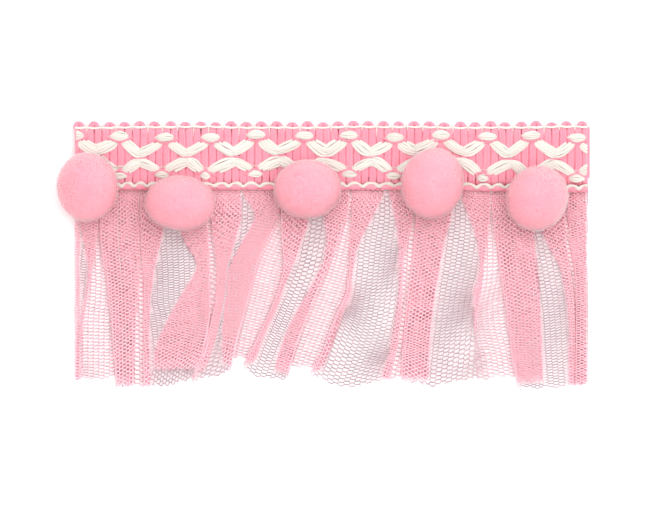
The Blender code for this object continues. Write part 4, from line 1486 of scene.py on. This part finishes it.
@dataclass
class PleatedCloth:
    """The surface that the net lies on: box pleats under a squeezed heading. Sizes in metres."""

    sheet: float = 0.5 * MM
    turn_radius: float = 0.28 * MM
    least_overlap: float = 0.9 * MM
    # The share of that overlap that stays free on each side of a front's middle
    middle_gap: float = 0.2
    heading_squeeze: float = 0.4
    squeeze_depth: float = 3.6 * MM
    start_depth: float = -1.8 * MM
    # Between these depths the fronts rise to their full loft
    loft_depths: tuple[float, float] = (9.0 * MM, 22.0 * MM)
    turn_steps: int = 5
    front_steps: int = 8
    behind_steps: int = 4

    def squeeze(self, depth: np.ndarray) -> np.ndarray:
        """The share of its full height that the pleating has at each depth."""
        risen = smooth_step(depth, 0.0, self.squeeze_depth)
        return self.heading_squeeze + (1 - self.heading_squeeze) * risen

    def turn(
        self, low_x: np.ndarray, top_x: np.ndarray, scale: np.ndarray, step: int
    ) -> tuple[np.ndarray, np.ndarray]:
        """A point of the S that carries the cloth from the back layer up to the front one.

        Args:
            low_x: where the back layer ends, for each row.
            top_x: where the front one starts.
            scale: the share of its full height that the pleating has.
            step: the point's number, counted through the lower turn and then the upper one.

        Returns:
            Its x and z for each row.
        """
        radius = self.turn_radius * scale
        run = top_x - low_x
        full = np.where(run <= 0, math.pi, 2 * np.arctan2(2 * radius, np.maximum(run, 1e-9)))
        web = np.abs(run)
        low_z = self.sheet * scale / 2
        if step <= self.turn_steps:
            angle = full * step / self.turn_steps
            return low_x + radius * np.sin(angle), low_z + radius * (1 - np.cos(angle))
        angle = full * (2 * self.turn_steps + 1 - step) / self.turn_steps
        centre_x = low_x + 2 * radius * np.sin(full) + web * np.cos(full)
        centre_z = low_z + radius * (1 - 2 * np.cos(full)) + web * np.sin(full)
        return centre_x - radius * np.sin(angle), centre_z + radius * np.cos(angle)

    def knots(self) -> list[Knot]:
        """Every knot of the section in the order in which the cloth runs."""
        turns = range(2 * self.turn_steps + 2)
        found = []
        for index, pleat in enumerate(PLEATS):
            found += [Knot(index, Part.LEFT_TURN, step) for step in turns]
            last = self.front_steps - 1 if pleat.outer_right else self.front_steps
            found += [Knot(index, Part.FRONT, step) for step in range(1, last + 1)]
            if pleat.outer_right:
                found += [Knot(index, Part.RIGHT_TURN, step) for step in reversed(turns)]
                found += [Knot(index, Part.BEHIND, step) for step in range(1, self.behind_steps)]
        return found

    def hem_of(self, knot: Knot) -> float:
        """How far below the braid the cloth ends at a knot, in metres."""
        pleat = PLEATS[knot.pleat]
        if knot.part is Part.BEHIND:
            return pleat.hem_behind * MM
        if knot.part is Part.FRONT:
            return float(along_table((0.0, 0.5, 1.0), pleat.hem, knot.step / self.front_steps)) * MM
        lift = knot.step / (2 * self.turn_steps + 1)
        if knot.part is Part.LEFT_TURN:
            low, high = PLEATS[max(knot.pleat - 1, 0)].hem_behind, pleat.hem.left
        else:
            low, high = pleat.hem_behind, pleat.hem.right
        return (low + (high - low) * lift) * MM

    def pleat_edges(self, index: int, depth: np.ndarray) -> PleatEdges:
        """A pleat's folds at some depths, kept in order.

        Args:
            index: the pleat's number.
            depth: how far each place lies below the braid.

        Returns:
            The folds at each of them.
        """
        pleat = PLEATS[index]
        tables = (pleat.outer_left, pleat.inner_left, pleat.inner_right, pleat.outer_right)
        edges = [along_table(EDGE_DEPTHS, table, depth / MM) * MM if table else None for table in tables]
        outer_left, inner_left, inner_right, outer_right = edges
        overlap = self.least_overlap * self.squeeze(depth)
        inner_left = np.maximum(inner_left, outer_left + overlap)
        if inner_right is not None:
            middle = (inner_left + inner_right) / 2
            inner_left = np.minimum(inner_left, middle - overlap * self.middle_gap)
            inner_right = np.maximum(inner_right, middle + overlap * self.middle_gap)
        return PleatEdges(outer_left, inner_left, inner_right, outer_right)

    def knot_line(self, knot: Knot, share: np.ndarray) -> tuple[np.ndarray, np.ndarray, np.ndarray]:
        """The line of a knot down the cloth.

        Args:
            knot: the knot.
            share: how far down the cloth each row lies.

        Returns:
            Its x from the left cut end, its depth and its z at each row.
        """
        depth = self.start_depth + (self.hem_of(knot) - self.start_depth) * share
        scale = self.squeeze(depth)
        reach = self.turn_radius * scale
        edges = self.pleat_edges(knot.pleat, depth)
        if knot.part is Part.LEFT_TURN:
            x, z = self.turn(edges.inner_left - reach, edges.outer_left + reach, scale, knot.step)
            return x, depth, z
        if knot.part is Part.RIGHT_TURN:
            x, z = self.turn(-edges.inner_right - reach, reach - edges.outer_right, scale, knot.step)
            return -x, depth, z
        if knot.part is Part.BEHIND:
            start = edges.inner_right + reach
            end = self.pleat_edges(knot.pleat + 1, depth).inner_left - reach
            x = start + (end - start) * knot.step / self.behind_steps
            return x, depth, self.sheet * scale / 2
        start = edges.outer_left + reach
        end = TRIM_LENGTH if edges.outer_right is None else edges.outer_right - reach
        part = knot.step / self.front_steps
        loft = PLEATS[knot.pleat].loft * MM * smooth_step(depth, *self.loft_depths)
        z = (self.sheet / 2 + 4 * self.turn_radius) * scale + loft * math.sin(math.pi * part)
        return start + (end - start) * part, depth, z

    def section(self, rows: int) -> Section:
        """The whole section at every one of so many rows, from the heading to the hem."""
        share = np.linspace(0.0, 1.0, rows + 1)
        knots = self.knots()
        lines = [self.knot_line(knot, share) for knot in knots]
        x, depth, z = (np.array([line[axis] for line in lines]) for axis in range(3))
        steps = np.hypot(np.diff(x, axis=0), np.diff(z, axis=0))
        along = np.concatenate([np.zeros((1, len(share))), np.cumsum(steps, axis=0)])
        return Section(knots, x, depth, z, along)


def between_rows(lines: np.ndarray, share: float) -> np.ndarray:
    """The values at a share of the cloth's length, where the last axis holds one value for each row."""
    place = share * (lines.shape[-1] - 1)
    low = min(int(place), lines.shape[-1] - 2)
    return lines[..., low] * (low + 1 - place) + lines[..., low + 1] * (place - low)


class PaintedShade(NamedTuple):
    """The net's painted light and shade, by where it lies: bright pink among other layers, a paler painted
    light alone behind, and a grey painted shadow of the threads alone in front.
    """

    among_layers: float
    alone_behind: float
    alone_in_front: float


@dataclass
class Strip:
    """A front or a back panel with half of the hidden layer on each side of it.

    Args:
        pleat: the number of its pleat.
        part: whether it is the pleat's front or the panel behind, on its right.
        anchor: where its middle lies along the section, for each row.
        start: where it starts along the section, for each row.
        end: where it ends along the section, for each row.
        lone_below: the depths below which no other layer reaches, on its left and on its right.
    """

    pleat: int
    part: Part
    anchor: np.ndarray
    start: np.ndarray
    end: np.ndarray
    lone_below: tuple[float, float]

    @property
    def tilt(self) -> tuple[float, ...]:
        """How steeply its rows climb to the right, at each of ROW_SHARES."""
        pleat = PLEATS[self.pleat]
        return pleat.tilt_behind if self.part is Part.BEHIND else pleat.tilt

    @property
    def crimp(self) -> tuple[float, ...]:
        """How many times closer than usual its rows lie, at each of ROW_SHARES."""
        pleat = PLEATS[self.pleat]
        return pleat.crimp_behind if self.part is Part.BEHIND else pleat.crimp


class RowPoints(NamedTuple):
    """The points of one row of the lattice, with one entry in each array for every point.

    Args:
        columns: the holes' columns that they belong to.
        sides: their sides of these, -1 on the left and 1 on the right.
        places: their x, y and z in the model's frame.
        tints: their tints.
        thicknesses: how many times as thick as usual their threads are.
    """

    columns: np.ndarray
    sides: np.ndarray
    places: np.ndarray
    tints: np.ndarray
    thicknesses: np.ndarray


@dataclass
class NetRuffle:
    """The gathered net: a lattice of six-sided holes on the pleated cloth. Sizes in metres."""

    cloth: PleatedCloth = field(default_factory=PleatedCloth)
    cloth_length: float = 40.5 * MM
    column_pitch: float = 1.08 * MM
    half_row: float = 0.45 * MM
    bar_share: float = 0.74
    bar_thickness: float = 0.34 * MM
    slant_thickness: float = 0.23 * MM
    thread_sides: int = 3
    # The columns lie closer at the heading, by this factor. It fades out between these shares of the cloth
    heading_gather: float = 0.8
    gather_shares: tuple[float, float] = (0.05, 0.25)
    hidden_gather: float = 0.56
    # How much of that gathering is missing where the rows lie twice as close
    crimp_relief: float = 0.4
    lap: float = 0.45 * MM
    jitter: float = 0.025 * MM
    # How many places along a row of a panel its columns are counted at
    samples: int = 240
    # Painted light and shade of the net: tints among layers, alone behind (painted lighter) and alone in
    # front (painted shadow), darker where crimped, with random jitter
    painted_shade: PaintedShade = PaintedShade(0.0, 0.5, 0.85)
    painted_shade_where_crimped: float = 0.15
    painted_shade_jitter: float = 0.06
    behind_thickness: float = 1.7
    tone_inset: float = 0.05 * MM
    tone_blend: float = 0.2 * MM
    fold_margin: float = 0.4 * MM
    # The hidden layers end at this share of the way from the hem behind to the front's own
    hidden_hem: float = 0.25
    # The share of the last row's points that the cut has left without threads
    cut_away: float = 0.3
    # Threads that lie closer together are finer, by this power of their spacing
    fineness_power: float = 0.75
    # The first pleat of each of the objects that the net is made in
    first_pleats: tuple[int, ...] = (0, 3, 6)
    # How high over the ground the threads' middles lie at least
    least_height: float = 0.2 * MM
    seed: int = 5

    @property
    def rows(self) -> int:
        """How many half rows of holes the cloth has."""
        return round(self.cloth_length / self.half_row)

    def strips(self, section: Section, pleats: range) -> list[Strip]:
        """The front and back panels of some pleats, each with its share of the hidden layers.

        Args:
            section: the cloth's section.
            pleats: the pleats' numbers.

        Returns:
            The panels in the order in which the cloth runs.
        """
        place = {knot: number for number, knot in enumerate(section.knots)}
        along = section.along

        def middle_of_turn(index: int, part: Part) -> np.ndarray:
            """The middle of a turn's web along the section."""
            below = along[place[Knot(index, part, self.cloth.turn_steps)]]
            above = along[place[Knot(index, part, self.cloth.turn_steps + 1)]]
            return (below + above) / 2

        found = []
        for index in pleats:
            pleat = PLEATS[index]
            start = middle_of_turn(index, Part.LEFT_TURN) if index else along[0]
            end = middle_of_turn(index, Part.RIGHT_TURN) if pleat.outer_right else along[-1]
            anchor = along[place[Knot(index, Part.FRONT, self.cloth.front_steps // 2)]]
            behind = PLEATS[max(index - 1, 0)].hem_behind, pleat.hem_behind
            own = pleat.hem.left, pleat.hem.right
            lone_below = tuple((a + (b - a) * self.hidden_hem) * MM for a, b in zip(behind, own))
            found.append(Strip(index, Part.FRONT, anchor, start, end, lone_below))
            if pleat.outer_right:
                anchor = along[place[Knot(index, Part.BEHIND, self.cloth.behind_steps // 2)]]
                following = middle_of_turn(index + 1, Part.LEFT_TURN)
                nowhere = self.cloth_length, self.cloth_length
                found.append(Strip(index, Part.BEHIND, anchor, end, following, nowhere))
        return found

    def alone_between(self, strip: Strip, depth: np.ndarray) -> tuple[np.ndarray, np.ndarray]:
        """Where a panel has no other layer over it or under it.

        Args:
            strip: the panel.
            depth: how far each place lies below the braid.

        Returns:
            The left and the right limit at each of them, from the left cut end.
        """
        edges = self.cloth.pleat_edges(strip.pleat, depth)
        if strip.part is Part.BEHIND:
            return edges.outer_right, self.cloth.pleat_edges(strip.pleat + 1, depth).outer_left
        right = np.full(len(depth), TRIM_LENGTH + MM) if edges.inner_right is None else edges.inner_right
        return edges.inner_left, right

    def within(self, x: np.ndarray, left: Any, right: Any) -> np.ndarray:
        """How far each x lies inside a range, from 0 near its ends and outside it to 1.

        Args:
            x: the places.
            left: the range's left end, or one for each place.
            right: its right end, or one for each place.

        Returns:
            A number for each place.
        """
        full = self.tone_inset + self.tone_blend
        far_from_left = smooth_step(x, left + self.tone_inset, left + full)
        far_from_right = smooth_step(-x, self.tone_inset - right, full - right)
        return far_from_left * far_from_right

    def row_shares(self, crimp: tuple[float, ...]) -> np.ndarray:
        """Where a panel's half rows of holes lie.

        Args:
            crimp: how many times closer than usual they lie, at each of ROW_SHARES.

        Returns:
            How far down the cloth each of them lies.
        """
        steps = 400
        fall = np.linspace(0.0, 1.0, steps + 1)
        closeness = along_table(ROW_SHARES, crimp, fall)
        counted = np.concatenate([[0.0], np.cumsum((closeness[1:] + closeness[:-1]) / 2)])
        rows = round(self.rows * counted[-1] / steps)
        return np.interp(np.linspace(0.0, counted[-1], rows + 1), counted, fall)

    def count_columns(
        self, fine: np.ndarray, alone: np.ndarray, share: float, crimped: float
    ) -> np.ndarray:
        """Counts a row's columns of holes, which lie closer where the cloth is gathered.

        Args:
            fine: places along the section.
            alone: how far each of them is from other layers, from 0 to 1.
            share: how far down the cloth the row lies.
            crimped: how much closer than usual the rows lie there, from 0 to 1.

        Returns:
            How many columns lie before each place.
        """
        gather = self.heading_gather + (1 - self.heading_gather) * smooth_step(share, *self.gather_shares)
        hidden_gather = self.hidden_gather + (1 - self.hidden_gather) * self.crimp_relief * crimped
        pitch = self.column_pitch * gather * (hidden_gather + (1 - hidden_gather) * alone)
        return np.concatenate([[0.0], np.cumsum(np.diff(fine) * 2 / (pitch[1:] + pitch[:-1]))])

    def row_points(self, section: Section, strip: Strip, row: int, share: float) -> RowPoints:
        """The lattice points of one row of a strip.

        Args:
            section: the cloth's section.
            strip: the panel.
            row: the row's number.
            share: how far down the cloth it lies.

        Returns:
            The points.
        """
        lines = (section.along, section.x, section.depth, section.z)
        along, line_x, line_depth, line_z = (between_rows(line, share) for line in lines)
        anchor, start, end = (between_rows(line, share) for line in (strip.anchor, strip.start, strip.end))
        fine = np.linspace(start - self.lap, end + self.lap, self.samples)
        fine_x, fine_depth = (np.interp(fine, along, line) for line in (line_x, line_depth))
        left, right = self.alone_between(strip, fine_depth)
        alone = self.within(fine_x, left, right)
        crimped = min(float(along_table(ROW_SHARES, strip.crimp, share)) - 1.0, 1.0)
        counted = self.count_columns(fine, alone, share, crimped)
        counted -= np.interp(anchor, fine, counted)
        columns = np.arange(math.ceil(counted[0] - 0.5), math.floor(counted[-1] + 0.5) + 1)
        columns = columns[(columns + row) % 2 == 1]
        column, side = np.repeat(columns, 2), np.tile((-1, 1), len(columns))
        number = column + side * self.bar_share / 2
        kept = (number >= counted[0]) & (number <= counted[-1])
        column, side, number = column[kept], side[kept], number[kept]
        place = np.interp(number, counted, fine)
        x, depth, z = (np.interp(place, along, line) for line in (line_x, line_depth, line_z))
        z = np.maximum(z, self.least_height)
        on_the_left = np.interp(place, fine, fine_x < (left + right) / 2) > 0.5
        lone_below = np.where(on_the_left, *strip.lone_below)
        inner = fine_x.min() + self.fold_margin, fine_x.max() - self.fold_margin
        no_others = smooth_step(depth, lone_below, lone_below + MM) * self.within(x, *inner)
        lone = np.maximum(np.interp(place, fine, alone), no_others)
        rise = (z - line_z.min()) / (line_z.max() - line_z.min())
        # Painted shadow: a lone thread's tint darkens from the behind shade to the front one the higher it
        # stands, and more where the rows are crimped
        in_front = self.painted_shade.alone_in_front + self.painted_shade_where_crimped * crimped
        painted_shade = self.painted_shade.alone_behind + (in_front - self.painted_shade.alone_behind) * rise
        tint = self.painted_shade.among_layers * (1 - lone) + painted_shade * lone
        tilt = along_table((0.0, *ROW_SHARES, 1.0), (0.0, *strip.tilt, 0.0), share)
        depth -= tilt * (place - anchor)
        thickness = self.behind_thickness + (1.0 - self.behind_thickness) * rise
        points = np.stack([x + LEFT_END, RUFFLE_TOP_Y - depth, z], 1)
        return RowPoints(column, side, points, tint, thickness)

    def lattice(self, section: Section, strips: list[Strip], seed: int) -> bpy.types.Mesh:
        """The strips' lattice as a mesh of points and edges.

        Each hole has a level bar of two twisted threads above and below it and two slanting threads on
        each side.

        Args:
            section: the cloth's section.
            strips: the panels to fill.
            seed: the seed of the lattice's unevenness.

        Returns:
            The mesh, with its points' tint and its edges' half thickness.
        """
        random = np.random.default_rng(seed)
        numbers: dict[tuple[int, int, int, int], int] = {}
        points, tints, widths = [], [], []
        for order, strip in enumerate(strips):
            shares = self.row_shares(strip.crimp)
            spacing = np.gradient(shares) * self.rows
            for row, share in enumerate(shares):
                row_points = self.row_points(section, strip, row, share)
                for column, side, place, painted_shade, thickness in zip(*row_points):
                    if row == len(shares) - 1 and random.random() < self.cut_away:
                        continue
                    numbers[order, int(column), int(side), row] = len(points)
                    points.append(place + random.normal(0.0, self.jitter, 3))
                    tints.append(painted_shade + random.uniform(-self.painted_shade_jitter, self.painted_shade_jitter))
                    widths.append(thickness * spacing[row] ** self.fineness_power)
        edges, halves = [], []
        for (order, column, side, row), number in numbers.items():
            if side == -1:
                ends, thickness = [(order, column, 1, row)], self.bar_thickness
            else:
                ends = [(order, column + 1, -1, row - 1), (order, column + 1, -1, row + 1)]
                thickness = self.slant_thickness
            found = [(number, numbers[end]) for end in ends if end in numbers]
            edges += found
            halves += [thickness * widths[number] / 2] * len(found)
        mesh = bpy.data.meshes.new("net_lattice")
        mesh.from_pydata(points, edges, [])
        store_floats(mesh, "tint", np.clip(tints, 0.0, 1.0))
        store_floats(mesh, "half_width", np.array(halves), "EDGE")
        return mesh

    def build(self, threads: GeometryTree, material: bpy.types.Material) -> list[bpy.types.Object]:
        """Makes the net, in objects that meet in hidden layers.

        Args:
            threads: the tree that turns a lattice into threads.
            material: the net's material.

        Returns:
            The objects from left to right.
        """
        section = self.cloth.section(self.rows)
        pieces = []
        last_pleats = (*self.first_pleats[1:], len(PLEATS))
        for number, (first, last) in enumerate(zip(self.first_pleats, last_pleats)):
            name = f"net_{number + 1}"
            strips = self.strips(section, range(first, last))
            piece = link_object(name, self.lattice(section, strips, self.seed + number))
            threads.apply(piece, Sides=self.thread_sides, Net_Material=material)
            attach(piece, "root")
            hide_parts("ruffle")
            pieces.append(piece)
        return pieces


# --- The pompoms ------------------------------------------------------------------------------------


@dataclass(frozen=True)
class Pompom:
    """One pompom, in millimetres and degrees: its middle, its seat, its half sizes and its turn."""

    x: float
    y: float
    seat: float
    half_long: float
    half_wide: float
    half_high: float
    turn_deg: float
    underside: float = 0.78
    pile: float = 0.55
    # The share of the pile that stands out of the core within the pompom's size
    pile_outside: float = 0.75
    # The fineness and the height of its coarse and its fine unevenness
    lumps: tuple[float, float] = (1.6, 0.16)
    crumbs: tuple[float, float] = (7.0, 0.05)
    # How far the noise moves from one pompom to the next
    noise_step: tuple[float, float, float] = (3.1, 1.7, 0.0)

    def core(self, name: str, seed: int) -> bpy.types.Object:
        """The pompom's packed yarn: a slightly uneven ball, pressed flatter below.

        Args:
            name: the object's name.
            seed: the number that sets its unevenness apart.

        Returns:
            The object.
        """
        ball = bmesh.new()
        bmesh.ops.create_icosphere(ball, subdivisions=5, radius=1.0)
        turn = Matrix.Rotation(math.radians(self.turn_deg), 3, "Z")
        below = self.half_high * self.underside
        middle = Vector((self.x, self.y, self.seat + below))
        shift = Vector([seed * step for step in self.noise_step])
        pile = self.pile * self.pile_outside
        for vertex in ball.verts:
            direction = vertex.co.normalized()
            uneven = 0.0
            for fineness, height in (self.lumps, self.crumbs):
                uneven += noise.noise(direction * fineness + shift) * height
            high = self.half_high if direction.z > 0 else below
            sizes = Vector((self.half_long - pile, self.half_wide - pile, high - pile))
            swelled = Vector(a * b for a, b in zip(direction, sizes))
            vertex.co = (middle + turn @ (swelled + direction * uneven)) * MM
        mesh = bpy.data.meshes.new(name)
        ball.to_mesh(mesh)
        ball.free()
        store_floats(mesh, "tint", np.full(len(mesh.vertices), 0.5))
        store_floats(mesh, "tip", np.full(len(mesh.vertices), 0.0))
        return link_object(name, mesh)


POMPOMS = (
    Pompom(-48.9, -6.9, 3.15, 7.0, 6.3, 5.6, 88.0),
    Pompom(-30.3, -10.1, 3.72, 7.2, 5.6, 5.3, -3.0),
    Pompom(-4.8, -7.3, 3.2, 6.9, 6.0, 5.5, 4.0),
    Pompom(20.2, -6.1, 3.22, 7.2, 6.4, 5.7, 76.0),
    Pompom(41.1, -9.1, 3.6, 6.7, 6.2, 5.6, 62.0),
)


@dataclass
class PompomRow:
    """The pompoms along the heading, each covered with short fibres."""

    fibres_per_square_metre: float = 30.0e6
    fibre_radius: float = 0.035 * MM
    lean: float = 0.35

    def build(self, pile: GeometryTree, material: bpy.types.Material) -> list[bpy.types.Object]:
        """Makes every pompom and returns them."""
        pieces = []
        for number, pompom in enumerate(POMPOMS, start=1):
            piece = pompom.core(f"pompom_{number}_pile", number)
            pile.apply(
                piece,
                Fibres_Per_Square_Metre=self.fibres_per_square_metre,
                Fibre_Length=pompom.pile * MM,
                Fibre_Radius=self.fibre_radius,
                Lean=self.lean,
                Seed=number,
                Pile_Material=material,
            )
            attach(piece, "root")
            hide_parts(f"pompom_{number}")
            pieces.append(piece)
        return pieces


# --- The studio -------------------------------------------------------------------------------------


@dataclass
class Studio:
    """The pale floor, the soft light and the camera straight above the trim."""

    floor_half: float = 2.0
    floor_colour: tuple[float, float, float] = (0.9, 0.9, 0.9)
    sky: float = 1.1
    key_energy: float = 10.5
    # Light must bounce on between the layers of net, or the deeper ones go dark
    light_bounces: int = 12
    key_size: float = 1.0
    key_place: tuple[float, float, float] = (0.2, 0.25, 1.0)
    camera_height: float = 0.6

    def floor(self) -> None:
        """The floor, as a plain plane under the trim."""
        mesh = bpy.data.meshes.new("studio_floor")
        h = self.floor_half
        mesh.from_pydata([(-h, -h, 0.0), (h, -h, 0.0), (h, h, 0.0), (-h, h, 0.0)], [], [(0, 1, 2, 3)])
        material = bpy.data.materials.new("studio_paper")
        material.use_nodes = True
        shader = material.node_tree.nodes["Principled BSDF"]
        shader.inputs["Base Color"].default_value = (*self.floor_colour, 1.0)
        shader.inputs["Roughness"].default_value = 1.0
        shader.inputs["Specular IOR Level"].default_value = 0.0
        mesh.materials.append(material)
        link_object("studio_floor", mesh)

    def light(self) -> None:
        """An even white sky and one large soft lamp from the upper right."""
        world = bpy.data.worlds.new("studio_sky")
        world.use_nodes = True
        background = world.node_tree.nodes["Background"]
        background.inputs["Color"].default_value = (1.0, 1.0, 1.0, 1.0)
        background.inputs["Strength"].default_value = self.sky
        bpy.context.scene.world = world
        lamp = bpy.data.lights.new("soft_key", "AREA")
        lamp.energy = self.key_energy
        lamp.size = self.key_size
        key = bpy.data.objects.new("soft_key", lamp)
        key.location = self.key_place
        key.rotation_euler = (-Vector(self.key_place)).to_track_quat("-Z", "Y").to_euler()
        bpy.context.scene.collection.objects.link(key)

    def camera(self) -> None:
        """A camera straight above, without perspective, that frames what the photograph frames."""
        lens = bpy.data.cameras.new("camera")
        lens.type = "ORTHO"
        lens.ortho_scale = FRAME_WIDTH
        lens.clip_start, lens.clip_end = 0.01, 10.0
        viewer = bpy.data.objects.new("camera", lens)
        viewer.location = (0.0, FRAME_CENTRE_Y, self.camera_height)
        bpy.context.scene.collection.objects.link(viewer)
        bpy.context.scene.camera = viewer

    def build(self) -> None:
        """Sets up the whole studio."""
        self.floor()
        self.light()
        self.camera()
        bpy.context.scene.view_settings.view_transform = "Standard"
        bpy.context.scene.cycles.diffuse_bounces = self.light_bounces


def triangles(piece: bpy.types.Object) -> int:
    """How many triangles a piece has."""
    return sum(len(face.vertices) - 2 for face in piece.data.polygons)


def report(pieces: Iterable[bpy.types.Object]) -> None:
    """Logs each piece with its size."""
    for piece in pieces:
        log.info("%s: %d triangles", piece.name, triangles(piece))


def main() -> None:
    """Builds the trim and its studio."""
    logging.basicConfig(level=logging.INFO, format="%(message)s", stream=sys.stdout)
    groups = {"grain": fibre_grain_group(), "dye_and_shade": dye_and_painted_shade_group()}
    sweep, threads, pile = yarn_sweep_tree(), thread_net_tree(), pile_tree()
    pink, cream = PINK_YARN.build(groups), CREAM_YARN.build(groups)
    report(GimpBraid().build(sweep, pink, cream))
    report(NetRuffle().build(threads, NET_YARN.build(groups)))
    report(PompomRow().build(pile, POMPOM_YARN.build(groups)))
    Studio().build()


if __name__ == "__main__":
    main()
